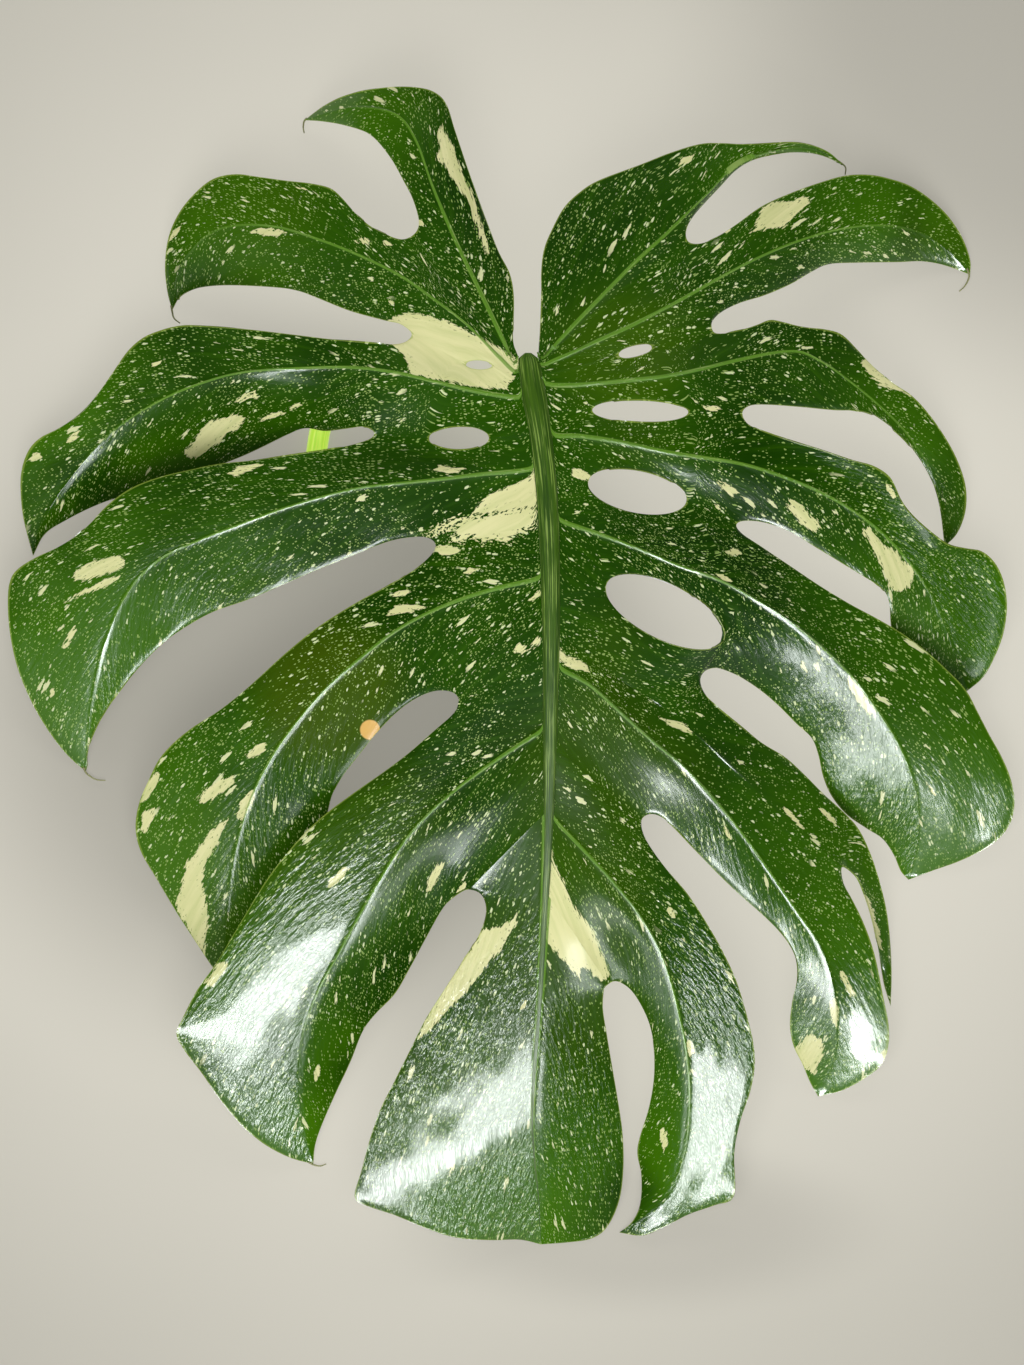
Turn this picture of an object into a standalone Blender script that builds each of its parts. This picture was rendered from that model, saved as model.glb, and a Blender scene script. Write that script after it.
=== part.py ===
"""A picked monstera leaf that lies face up on a flat surface: one folded, slotted blade and its cut stalk.

The outline is drawn on a sheet seen from above, x to the right and y down, SHEET_UNIT a unit. Each lobe has
its side vein, from the midrib to its tip, and its two margins. before is the margin on the leaf base's side
and after is the one on the leaf tip's side, both listed from the midrib outwards. Two neighbouring lobes are
one sheet as far as slot_end, and a hole lies on the seam between them. Heights are in millimetres.
"""

import bmesh
import bpy
import numpy as np

MM = 0.001
SHEET_UNIT = 0.45 * MM
SHEET_CENTRE = np.array((511.7, 667))
BLADE_THICKNESS = 0.9 * MM
MIDRIB_THICKNESS = 6.0 * MM
SIDE_VEIN_THICKNESS = 2.6 * MM
SIDE_VEIN_HALF_WIDTH = 3.0 * MM
LOWEST_TOP_FACE = BLADE_THICKNESS
FOOT_LIFT = 0.5 * MM
FOLD_ROUNDING = 1.35
FOLD_START = 34 * MM
SLOT_LIP = 20 * MM
STALK_RADIUS = 4.7 * MM
STALK_TOP = 62.0 * MM
SEAT_RADIUS = 5.5 * MM
SEAT_REACH = 14 * MM
GAP = 0.3 * MM

ROWS_TO_HOLE = 2
ROWS_OF_HOLE = 6
ROWS_TO_SLOT = 2
SEAM_ROWS = ROWS_TO_HOLE + ROWS_OF_HOLE + ROWS_TO_SLOT
MARGIN_ROWS = 12
MIDRIB_ROWS = 25
MIDRIB_EDGE_STEPS = 120
COLUMN_SHARES = (0.0, 0.5, 1.0)
WIDEST_VEIN_SHARE = 0.3
BEND_REACH = 22
VEIN_START_ROWS = 2
MIDRIB_CROWN = 0.12
MIDRIB_END_SHARE = 0.2
MERGE_DISTANCE = 0.02 * MM
STALK_STEPS = 3
STALK_BEVEL_STEPS = 4

MIDRIB = [(528, 357), (533, 390), (541, 440), (547, 500), (550, 570), (551, 640), (550, 720), (549, 800),
          (547, 860), (543, 940), (539, 1010), (534, 1075), (532, 1120), (535, 1165), (539, 1205), (541, 1248)]
MIDRIB_HALF_WIDTHS = [(357, 10), (400, 12), (440, 10.5), (520, 10), (580, 9), (640, 8), (760, 6), (820, 4),
                      (900, 3), (1100, 1.5), (1248, 0)]
MIDRIB_HEIGHTS = [(357, 69), (430, 76), (500, 80), (600, 84), (700, 83), (820, 75), (920, 62), (1000, 50),
                  (1090, 36), (1170, 20), (1248, 1)]

LEFT_LOBES = [
    dict(root=365, tip=(303, 117), folds=(0.45, 0.25), heights=[66, 60, 52, 38, 6],
         vein=[(499, 332), (481, 294), (455, 240), (432, 185), (416, 140), (395, 113), (350, 106)],
         before=[(513, 340), (514, 300), (510, 275), (499, 253), (488, 225), (470, 175), (455, 130),
                 (447, 105), (437, 93), (420, 87), (390, 86), (350, 92), (325, 102)],
         after=[(419, 222), (413, 200), (404, 182), (390, 157), (370, 134), (345, 124), (322, 119)],
         slot_end=(415, 234), hole=None),
    dict(root=373, tip=(170, 308), folds=(0.25, 0.18), heights=[68, 62, 52, 38, 18, 0],
         vein=[(470, 328), (430, 297), (400, 276), (360, 256), (320, 240), (270, 225), (215, 228), (180, 262)],
         before=[(403, 240), (388, 236), (370, 227), (355, 213), (342, 198), (330, 188), (310, 183),
                 (285, 180), (258, 176), (235, 173), (213, 177), (195, 190), (178, 210), (167, 234),
                 (163, 262), (165, 288)],
         after=[(401, 325), (385, 321), (350, 311), (318, 298), (300, 291), (280, 287), (240, 284),
                (213, 284), (193, 287), (178, 295)],
         slot_end=(412, 335), hole=(479, 366, 13, 4.5, -3)),
    dict(root=399, tip=(30, 555), folds=(0.15, 0.7), heights=[70, 66, 60, 56, 42, 28, 15, 0],
         vein=[(480, 393), (440, 384), (400, 374), (355, 368), (300, 369), (245, 372), (205, 382),
               (160, 400), (110, 432), (65, 482), (38, 525)],
         before=[(403, 344), (385, 345), (340, 341), (300, 336), (250, 330), (200, 326), (178, 326),
                 (158, 331), (142, 338), (127, 351), (112, 372), (97, 393), (80, 412), (58, 427),
                 (38, 437), (26, 450), (19, 470), (18, 492), (21, 520)],
         after=[(368, 427), (345, 429), (325, 431), (305, 428), (288, 434), (265, 445), (243, 455),
                (215, 466), (180, 482), (145, 492), (115, 497), (90, 506), (62, 520), (42, 533)],
         slot_end=(374, 436), hole=(459, 439, 30, 12, 0)),
    dict(root=471, tip=(83, 772), folds=(0.25, 0.06), heights=[74, 66, 56, 42, 25, 0],
         vein=[(480, 475), (440, 480), (400, 484), (360, 488), (320, 498), (280, 510), (240, 525),
               (200, 540), (160, 558), (128, 590), (105, 640), (90, 700)],
         before=[(360, 443), (330, 450), (290, 456), (250, 461), (220, 464), (190, 470), (160, 477),
                 (135, 486), (117, 497), (103, 509), (90, 523), (75, 536), (55, 548), (35, 557),
                 (16, 569), (8, 582), (6, 603), (8, 633), (15, 667), (28, 700), (45, 730), (64, 755)],
         after=[(428, 538), (408, 538), (385, 543), (355, 555), (320, 569), (285, 584), (250, 599),
                (215, 611), (190, 624), (165, 641), (142, 663), (120, 688), (101, 714), (88, 740)],
         slot_end=(436, 546), hole=None),
    dict(root=580, tip=(222, 985), folds=(0.25, 0.1), heights=[78, 70, 58, 40, 20, 3],
         vein=[(500, 588), (460, 600), (420, 617), (390, 635), (360, 659), (330, 685), (303, 715),
               (275, 752), (250, 800), (233, 860), (225, 925)],
         before=[(431, 556), (415, 570), (395, 583), (360, 601), (320, 626), (285, 654), (250, 686),
                 (220, 710), (193, 727), (173, 743), (158, 760), (148, 780), (138, 803), (134, 828),
                 (139, 852), (155, 880), (175, 914), (195, 945), (210, 968)],
         after=[(452, 692), (435, 691), (415, 699), (395, 714), (375, 735), (360, 754), (345, 773),
                (333, 793), (327, 815), (320, 842), (305, 875), (285, 908), (262, 940), (240, 968)],
         slot_end=(459, 700), hole=None),
    dict(root=733, tip=(312, 1167), folds=(-0.18, 0.6), heights=[77, 68, 58, 44, 25, 0],
         vein=[(520, 744), (490, 764), (460, 786), (430, 812), (405, 840), (383, 875), (360, 915),
               (338, 955), (317, 993), (302, 1035), (298, 1080), (302, 1130)],
         before=[(455, 712), (435, 730), (410, 752), (385, 771), (355, 792), (328, 812), (308, 830),
                 (288, 852), (268, 878), (250, 907), (232, 937), (215, 965), (197, 990), (184, 1015),
                 (176, 1034), (183, 1050), (200, 1073), (220, 1102), (242, 1129), (265, 1148), (290, 1161)],
         after=[(457, 894), (443, 908), (425, 940), (410, 968), (395, 994), (375, 1015), (362, 1033),
                (350, 1063), (335, 1095), (321, 1127), (314, 1148)],
         slot_end=(469, 889), hole=None),
]
LEFT_TIP = dict(root=813, fold=0.06,
                before=[(482, 894), (487, 908), (483, 926), (473, 946), (457, 970), (440, 996), (425, 1020),
                        (410, 1050), (395, 1080), (380, 1110), (369, 1142), (361, 1172), (354, 1198),
                        (366, 1207), (395, 1217), (425, 1230), (455, 1240), (490, 1243), (520, 1243)])

RIGHT_LOBES = [
    dict(root=361, tip=(847, 164), folds=(0.3, 0.5), heights=[68, 62, 52, 38, 10],
         vein=[(570, 330), (602, 297), (637, 261), (665, 236), (689, 212), (711, 191), (735, 165),
               (770, 150), (810, 147)],
         before=[(541, 325), (542, 300), (541, 275), (544, 250), (553, 228), (564, 208), (578, 194),
                 (598, 181), (640, 165), (670, 153), (700, 144), (722, 143), (745, 144), (772, 143),
                 (803, 142), (828, 149)],
         after=[(686, 230), (693, 217), (706, 202), (721, 186), (736, 170), (752, 160), (772, 154),
                (797, 151), (822, 153)],
         slot_end=(688, 242), hole=None),
    dict(root=367, tip=(973, 272), folds=(0.25, 0.18), heights=[68, 62, 50, 32, 14, 0],
         vein=[(600, 341), (640, 322), (680, 301), (720, 278), (760, 257), (800, 240), (845, 227),
               (895, 224), (940, 238)],
         before=[(700, 244), (716, 238), (737, 224), (762, 206), (792, 192), (822, 181), (847, 174),
                 (872, 173), (893, 177), (913, 184), (933, 197), (951, 214), (965, 235), (973, 257)],
         after=[(712, 322), (722, 312), (740, 303), (765, 295), (792, 283), (812, 271), (830, 263),
                (860, 261), (900, 260), (925, 259), (948, 263)],
         slot_end=(713, 332), hole=(635, 352, 17, 6, 14)),
    dict(root=386, tip=(947, 546), folds=(0.3, 0.14), heights=[70, 65, 54, 42, 28, 15, 6],
         vein=[(580, 386), (620, 382), (660, 378), (700, 370), (740, 360), (793, 350), (822, 361),
               (850, 381), (880, 405), (908, 432), (932, 468), (947, 505)],
         before=[(722, 334), (740, 331), (757, 325), (770, 320), (783, 322), (803, 327), (825, 329),
                 (842, 334), (857, 348), (872, 364), (892, 381), (912, 394), (928, 410), (945, 433),
                 (959, 458), (968, 485), (968, 510), (960, 532)],
         after=[(750, 406), (768, 405), (800, 407), (835, 410), (866, 411), (886, 422), (905, 438),
                (922, 459), (935, 482), (942, 507)],
         slot_end=(742, 413), hole=(640, 412, 48, 11.5, -1)),
    dict(root=437, tip=(970, 691), folds=(0.15, 0.08), heights=[74, 66, 54, 40, 24, 4],
         vein=[(580, 437), (620, 443), (660, 452), (700, 458), (740, 464), (780, 476), (820, 492),
               (855, 512), (885, 535), (912, 565), (935, 600), (952, 640)],
         before=[(747, 424), (762, 432), (790, 441), (820, 450), (850, 460), (873, 466), (889, 476),
                 (897, 490), (903, 505), (915, 519), (935, 536), (950, 546), (968, 549), (983, 551),
                 (996, 562), (1005, 580), (1009, 605), (1006, 632), (998, 655), (986, 677)],
         after=[(745, 521), (765, 523), (790, 532), (815, 547), (840, 562), (865, 577), (883, 588),
                (890, 603), (893, 630), (906, 655), (928, 677), (950, 689)],
         slot_end=(736, 525), hole=(637, 492, 50, 21.5, -11)),
    dict(root=523, tip=(911, 881), folds=(0.18, 0.13), heights=[77, 70, 58, 42, 24, 0],
         vein=[(600, 535), (640, 550), (680, 567), (720, 580), (755, 600), (790, 622), (825, 650),
               (855, 680), (880, 714), (903, 752), (918, 795), (920, 840)],
         before=[(742, 534), (760, 546), (790, 566), (820, 586), (850, 604), (880, 620), (905, 635),
                 (928, 652), (950, 672), (967, 690), (979, 712), (991, 735), (1004, 758), (1013, 780),
                 (1017, 803), (1012, 826), (995, 845), (965, 861), (935, 872)],
         after=[(714, 668), (724, 670), (740, 677), (760, 690), (778, 705), (797, 724), (812, 738),
                (819, 755), (824, 777), (833, 797), (848, 815), (868, 829), (885, 840), (896, 856),
                (903, 872)],
         slot_end=(705, 671), hole=(665, 612, 65, 27.5, -26), waist=(788, 619)),
    dict(root=671, tip=(820, 1099), folds=(0.2, 0.14), heights=[80, 72, 54, 38, 22, 0],
         vein=[(590, 685), (620, 712), (650, 739), (680, 764), (710, 795), (740, 831), (770, 873),
               (797, 912), (818, 942), (831, 975), (838, 1015), (836, 1060)],
         before=[(699, 679), (703, 692), (716, 707), (737, 724), (762, 743), (785, 757), (805, 775), (825, 795),
                 (845, 813), (860, 830), (872, 855), (882, 885), (889, 915), (893, 950), (894, 980)],
         after=[(648, 814), (658, 815), (672, 825), (692, 847), (716, 872), (741, 896), (765, 917),
                (785, 938), (796, 957), (798, 978), (793, 1003), (791, 1028), (795, 1048), (804, 1066),
                (812, 1085)],
         slot_end=(641, 820), hole=None),
    dict(root=823, tip=(620, 1236), folds=(0.06, 0.4), heights=[72, 62, 48, 32, 16, 1],
         vein=[(580, 846), (610, 878), (638, 913), (657, 945), (670, 980), (679, 1015), (687, 1055),
               (690, 1100), (686, 1150), (668, 1200)],
         before=[(643, 834), (653, 851), (668, 871), (687, 893), (706, 922), (722, 950), (736, 980),
                 (746, 1012), (754, 1045), (755, 1070), (750, 1095), (741, 1122), (735, 1155),
                 (735, 1198), (715, 1208), (690, 1217), (665, 1230), (643, 1239)],
         after=[(617, 981), (630, 989), (641, 1005), (650, 1026), (654, 1050), (654, 1080), (649, 1110),
                (638, 1150), (642, 1178), (641, 1207), (633, 1225)],
         slot_end=(608, 984), hole=None),
]
RIGHT_TIP = dict(root=895, fold=0.5,
                 before=[(603, 992), (603, 1010), (607, 1035), (612, 1065), (618, 1100), (623, 1135),
                         (624, 1170), (620, 1203), (608, 1230), (592, 1242), (568, 1246)])

FINGER_LOBE = 5
FINGER_ROWS = 16
FINGER_SEAM_SHARE = 0.33
FINGER_VEIN_SHARE = 0.55
FINGER_TIP = (893, 1008)
FINGER_ROOT = 634
FINGER_LINE = [(620, 680), (660, 706), (700, 738), (740, 775), (780, 812), (815, 843)]
FINGER_SLOT_END = (843, 867)
FINGER_INNER_EDGE = [(857, 876), (868, 900), (876, 927), (881, 955), (886, 985)]
BODY_EDGE = [(844, 883), (853, 900), (863, 920), (872, 943), (878, 965), (884, 995), (890, 1025),
             (890, 1048), (883, 1067), (866, 1081), (844, 1093)]

LYING = 3.9
STALK_ROUTE = [(529, 374, 62), (528, 376, 50), (523, 380, 36), (508, 385, 22), (480, 388, 11), (448, 388, 6),
               (415, 385, LYING), (385, 383, LYING), (356, 388, LYING), (334, 402, LYING),
               (321, 423, LYING), (316, 447, LYING), (313, 480, LYING), (311, 515, LYING), (308, 552, LYING)]
STALK_THICKENING = [1.14, 1.14, 1.1, 1.05, 1.0]


def smooth(points, steps=8):
    """A close polyline on the Catmull-Rom curve through the points."""
    knots = np.asarray(points, float)
    knots = np.vstack([2 * knots[0] - knots[1], knots, 2 * knots[-1] - knots[-2]])
    t = np.linspace(0, 1, steps, endpoint=False)[:, None]
    spans = [
        0.5 * (2 * b + (c - a) * t + (2 * a - 5 * b + 4 * c - d) * t**2 + (3 * b - a - 3 * c + d) * t**3)
        for a, b, c, d in zip(knots, knots[1:], knots[2:], knots[3:])
    ]
    return np.vstack([*spans, knots[-2:-1]])


def lengths_along(line):
    return np.insert(np.cumsum(np.linalg.norm(np.diff(line, axis=0), axis=1)), 0, 0)


def at(line, shares):
    """The points at these shares of a polyline's length."""
    along = lengths_along(line)
    return np.column_stack([np.interp(shares * along[-1], along, axis) for axis in line.T])


def even_shares(line, rows):
    """Where rows steps end along a polyline, as shares of its length, with shorter steps in tight bends."""
    step = np.diff(line, axis=0)
    heading = np.unwrap(np.arctan2(step[:, 1], step[:, 0]))
    turn = np.abs(np.diff(heading, prepend=heading[0]))
    effort = np.insert(np.cumsum(np.linalg.norm(step, axis=1) + BEND_REACH * turn), 0, 0)
    along = lengths_along(line)
    return np.interp(np.linspace(0, effort[-1], rows + 1), effort, along / along[-1])


def nearest_share(line, point):
    along = lengths_along(line)
    return along[np.argmin(np.linalg.norm(line - point, axis=1))] / along[-1]


def curve_value(pairs, where):
    """A smooth curve through (place, value) pairs, read at where."""
    line = smooth(pairs)
    return np.interp(where, line[:, 0], line[:, 1])


def midrib_point(y, side):
    """A point on the midrib's left edge, centre line or right edge, for a side of -1, 0 or 1."""
    line = smooth(MIDRIB)
    half_width = np.interp(y, *np.transpose(MIDRIB_HALF_WIDTHS))
    return np.array((np.interp(y, line[:, 1], line[:, 0]) + side * half_width, y))


def midrib_height(y):
    return curve_value(MIDRIB_HEIGHTS, y)


def seam(lobe, next_root, side):
    """The line where a lobe joins the next one: its two edges, alike except along a hole, and row shares."""
    start = midrib_point((lobe["root"] + next_root) / 2, side)
    end = np.array(lobe["slot_end"], float)
    if lobe["hole"] is None:
        shares = np.linspace(0, 1, SEAM_ROWS + 1)
        line = start + (end - start) * shares[:, None]
        return line, line.copy(), shares
    x, y, half_length, half_width, tilt = lobe["hole"]
    outward = side * np.array((np.cos(np.radians(tilt)), -np.sin(np.radians(tilt))))
    up = np.array((-np.sin(np.radians(tilt)), -np.cos(np.radians(tilt))))

    def rim(angle):
        return (x, y) + outward * half_length * np.cos(angle)[:, None] + up * half_width * np.sin(angle)[:, None]

    upper = rim(np.linspace(np.pi, 0, ROWS_OF_HOLE + 1))
    lower = rim(np.linspace(np.pi, 2 * np.pi, ROWS_OF_HOLE + 1))
    before = start + (upper[0] - start) * np.linspace(0, 1, ROWS_TO_HOLE + 1)[:-1, None]
    past = upper[-1] + (end - upper[-1]) * np.linspace(0, 1, ROWS_TO_SLOT + 1)[1:, None]
    middle = lengths_along(np.vstack([before, (upper + lower) / 2, past]))
    return np.vstack([before, upper, past]), np.vstack([before, lower, past]), middle / middle[-1]


def margin(points, start, tip, rows=MARGIN_ROWS):
    line = smooth([start, *points, tip])
    shares = even_shares(line, rows)
    return at(line, shares), shares


def vein_rail(line, waist, seam_shares, margin_shares):
    """Points along a vein, in step with the borders on its two sides, and their shares of its length."""
    shares = np.concatenate([waist * seam_shares, waist + (1 - waist) * margin_shares[1:]])
    return at(line, shares), shares


def fold_down(vein, vein_height, border, fold):
    """A border's height, from its vein's and the slope of the fold, which starts a little off the midrib."""
    off_midrib = lengths_along(border) * SHEET_UNIT
    start = 1 - np.exp(-(off_midrib / FOLD_START) ** 2)
    apart = np.linalg.norm(vein - border, axis=1) * SHEET_UNIT / MM
    return vein_height - fold * apart * start, start


def share_heights(upper, lower, root_height, start, upper_border, lower_border):
    """One height along a seam for both borders, which part again past the end of the slot."""
    joint = (upper + lower) / 2
    joint += (root_height - joint[0]) * (1 - start)
    results = []
    for own, border in ((upper, upper_border), (lower, lower_border)):
        past_end = lengths_along(border[SEAM_ROWS:]) * SHEET_UNIT
        parted = own[SEAM_ROWS:] + (joint[SEAM_ROWS] - own[SEAM_ROWS]) * np.exp(-past_end / SLOT_LIP)
        results.append(np.concatenate([joint[:SEAM_ROWS], parted]))
    return results


def lobe_veins(lobes, tip, side, seams, margins):
    """Each lobe's vein rail with its heights, and last the midrib's edge beyond the last seam."""
    rails = []
    for i, lobe in enumerate(lobes):
        line = smooth([midrib_point(lobe["root"], side), *lobe["vein"], lobe["tip"]])
        ends = [near["slot_end"] for near in lobes[max(i - 1, 0):i + 1]]
        waist = np.mean([nearest_share(line, lobe.get("waist", end)) for end in ends])
        seam_shares = np.mean([shares for _, _, shares in seams[max(i - 1, 0):i + 1]], axis=0)
        margin_shares = np.mean([shares for _, shares in margins[i]], axis=0)
        rail, shares = vein_rail(line, waist, seam_shares, margin_shares)
        heights = [midrib_height(lobe["root"]), *lobe["heights"]]
        pairs = np.column_stack([np.linspace(0, 1, len(heights)), heights])
        rails.append((rail, curve_value(pairs, shares)))
    edge_ys = np.linspace(tip["root"], MIDRIB[-1][1], MIDRIB_EDGE_STEPS)
    edge = np.array([midrib_point(y, side) for y in edge_ys])
    waist = nearest_share(edge, lobes[-1]["slot_end"])
    rail, _ = vein_rail(edge, waist, seams[-1][2], margins[-1][0][1])
    rails.append((rail, midrib_height(rail[:, 1])))
    return rails


def sinus_rail(lobe, waist_point, side):
    """The first lobe's margin in the notch at the leaf's base, from the midrib's end to the lobe's tip."""
    line = smooth([midrib_point(MIDRIB[0][1], side), *lobe["before"], lobe["tip"]])
    waist = nearest_share(line, waist_point)
    cut = np.argmin(np.abs(lengths_along(line) / lengths_along(line)[-1] - waist))
    near, far = line[:cut + 1], line[cut:]
    return np.vstack([at(near, even_shares(near, SEAM_ROWS)), at(far, even_shares(far, MARGIN_ROWS))[1:]])


def strips_of(lobes, tip, side):
    """The sheets between each vein and each border, as (inner rail, heights, outer rail, heights) rows."""
    roots = [lobe["root"] for lobe in lobes]
    next_roots = [*roots[1:], 2 * tip["root"] - roots[-1]]
    seams = [seam(lobe, following, side) for lobe, following in zip(lobes, next_roots)]
    margins = []
    for i, lobe in enumerate(lobes):
        end_of_lobe = FINGER_TIP if side == 1 and i == FINGER_LOBE else lobe["tip"]
        sides = [margin(lobe["after"], lobe["slot_end"], lobe["tip"])]
        if i:
            sides.insert(0, margin(lobe["before"], lobes[i - 1]["slot_end"], end_of_lobe))
        margins.append(sides)
    margins.append([margin(tip["before"], lobes[-1]["slot_end"], MIDRIB[-1])])
    veins = lobe_veins(lobes, tip, side, seams, margins)
    folds = [lobe["folds"] for lobe in lobes] + [(tip["fold"], 0)]

    rail, height = veins[0]
    edge = sinus_rail(lobes[0], rail[SEAM_ROWS], side)
    edge_height, start = fold_down(rail, height, edge, folds[0][0])
    edge_height += (midrib_height(MIDRIB[0][1]) - edge_height[0]) * (1 - start)
    strips = [(rail, height, edge, edge_height)]
    for i, (upper_seam, lower_seam, _) in enumerate(seams):
        upper = np.vstack([upper_seam, margins[i][-1][0][1:]])
        lower = np.vstack([lower_seam, margins[i + 1][0][0][1:]])
        upper_height, start = fold_down(*veins[i], upper, folds[i][1])
        lower_height, _ = fold_down(*veins[i + 1], lower, folds[i + 1][0])
        root_height = midrib_height(upper[0, 1])
        upper_height, lower_height = share_heights(upper_height, lower_height, root_height, start, upper, lower)
        strips.append((*veins[i], upper, upper_height))
        if side == 1 and i + 1 == FINGER_LOBE:
            strips.extend(finger_strips(*veins[i + 1], lower, lower_height))
        else:
            strips.append((*veins[i + 1], lower, lower_height))
    return strips


def finger_strips(vein, vein_height, border, border_height):
    """The half lobe that a short slot parts into a narrow finger and the body beside it."""
    shared = smooth([midrib_point(FINGER_ROOT, 1), *FINGER_LINE, FINGER_SLOT_END])
    shares = np.interp(np.arange(FINGER_ROWS + 1), (0, SEAM_ROWS, FINGER_ROWS), (0, FINGER_SEAM_SHARE, 1))
    shared = at(shared, shares)
    rows = SEAM_ROWS + MARGIN_ROWS - FINGER_ROWS
    body, _ = margin(BODY_EDGE, FINGER_SLOT_END, RIGHT_LOBES[FINGER_LOBE]["tip"], rows)
    finger, _ = margin(FINGER_INNER_EDGE, FINGER_SLOT_END, FINGER_TIP, rows)
    middle_height = FINGER_VEIN_SHARE * vein_height + (1 - FINGER_VEIN_SHARE) * border_height
    settle = np.exp(-np.arange(rows + FINGER_ROWS + 1))
    middle_height += (midrib_height(FINGER_ROOT) - middle_height[0]) * settle
    body_height = middle_height.copy()
    finger_height = middle_height.copy()
    past = np.linspace(0, 1, rows + 1)
    body_height[FINGER_ROWS:] += past * (vein_height - middle_height)[FINGER_ROWS:]
    finger_height[FINGER_ROWS:] += past * (border_height - middle_height)[FINGER_ROWS:]
    return [(np.vstack([shared, finger[1:]]), finger_height, border, border_height),
            (vein, vein_height, np.vstack([shared, body[1:]]), body_height)]


def to_world(points, heights):
    """Sheet points and heights in millimetres as points in metres, none lower than the surface allows."""
    plan = (points - SHEET_CENTRE) * SHEET_UNIT
    height = np.maximum(np.asarray(heights) * MM, LOWEST_TOP_FACE)
    return np.column_stack([plan[:, 0], -plan[:, 1], height])


def strip_grid(strip):
    """The strip's points, as columns that run from its vein to its border and rows from the midrib out."""
    inner = to_world(strip[0], strip[1])
    outer = to_world(strip[2], strip[3])
    width = np.linalg.norm(outer - inner, axis=1)
    beside_vein = np.minimum(WIDEST_VEIN_SHARE, SIDE_VEIN_HALF_WIDTH / np.maximum(width, MM))
    columns = []
    for share in (COLUMN_SHARES[0], None, *COLUMN_SHARES[1:]):
        t = (beside_vein if share is None else np.full(len(width), share))[:, None]
        place = inner + (outer - inner) * t
        place[:, 2:] = inner[:, 2:] + (outer - inner)[:, 2:] * t**FOLD_ROUNDING
        columns.append(place)
    return np.array(columns)


def add_strip(bm, thickness, grid, is_vein):
    """A grid of faces laid on the strip's points, with the blade's thickness at each."""
    columns, rows = grid.shape[0] - 1, grid.shape[1] - 1
    made = bmesh.ops.create_grid(bm, x_segments=columns, y_segments=rows, size=1)["verts"]
    for vert in made:
        column = round((vert.co.x + 1) / 2 * columns)
        row = round((vert.co.y + 1) / 2 * rows)
        vert.co = grid[column, row]
        taper = 1 - row / rows
        if row and is_vein:
            taper *= 1 - np.exp(-row / VEIN_START_ROWS)
        on_rib = row == 0 or (is_vein and column == 0)
        vert[thickness] = taper * SIDE_VEIN_THICKNESS / MIDRIB_THICKNESS if on_rib else 0


def bridge(bm, first, second):
    """Triangles between two lines of vertices that run the same way with unlike counts."""
    i = j = 0
    while i < len(first) - 1 or j < len(second) - 1:
        step_first = j == len(second) - 1 or (
            i < len(first) - 1 and first[i + 1].co.y > second[j + 1].co.y
        )
        corner = first[i + 1] if step_first else second[j + 1]
        bm.faces.new((first[i], second[j], corner))
        i, j = (i + 1, j) if step_first else (i, j + 1)


def add_midrib(bm, thickness, left_edge, right_edge):
    """The midrib's rounded top, bridged from its centre line to the two lines where the blade meets it."""
    ys = np.linspace(MIDRIB[0][1], MIDRIB[-1][1], MIDRIB_ROWS + 1)
    centre = to_world(np.array([midrib_point(y, 0) for y in ys]), midrib_height(ys))
    centre[:, 2] += np.interp(ys, *np.transpose(MIDRIB_HALF_WIDTHS)) * MIDRIB_CROWN * MM
    left, middle, right = ([bm.verts.new(point) for point in line] for line in (left_edge, centre, right_edge))
    for vert, share in zip(middle, np.linspace(1, MIDRIB_END_SHARE, len(middle))):
        vert[thickness] = share
    bridge(bm, left, middle)
    bridge(bm, middle, right)


def edge_of_midrib(grids):
    """The line where one side's strips meet the midrib, from the leaf's base to its tip."""
    line = [tuple(point) for point in grids[0][::-1, 0]]
    for grid in grids[1:]:
        first_row = [tuple(point) for point in grid[:, 0]]
        line += first_row if first_row[0][1] > first_row[-1][1] else first_row[::-1]
    line += [tuple(point) for point in grids[-1][0, 1:]]
    return [point for n, point in enumerate(line) if n == 0 or point[1] < line[n - 1][1] - 1e-7]


def blade_surface():
    bm = bmesh.new()
    thickness = bm.verts.layers.float.new("thickness")
    edges = []
    for lobes, tip, side in ((LEFT_LOBES, LEFT_TIP, -1), (RIGHT_LOBES, RIGHT_TIP, 1)):
        strips = strips_of(lobes, tip, side)
        grids = [strip_grid(strip) for strip in strips]
        for number, grid in enumerate(grids):
            finger = side == 1 and number == 2 * FINGER_LOBE
            add_strip(bm, thickness, grid, is_vein=not finger)
        edges.append(edge_of_midrib(grids))
    add_midrib(bm, thickness, *edges)
    bmesh.ops.remove_doubles(bm, verts=bm.verts[:], dist=MERGE_DISTANCE)
    bmesh.ops.dissolve_degenerate(bm, dist=MERGE_DISTANCE / 2, edges=bm.edges[:])
    bmesh.ops.triangulate(bm, faces=bm.faces[:], quad_method="SHORT_EDGE")
    bmesh.ops.recalc_face_normals(bm, faces=bm.faces[:])
    if sum(face.normal.z for face in bm.faces) < 0:
        bmesh.ops.reverse_faces(bm, faces=bm.faces[:])
    return bm, thickness


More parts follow.
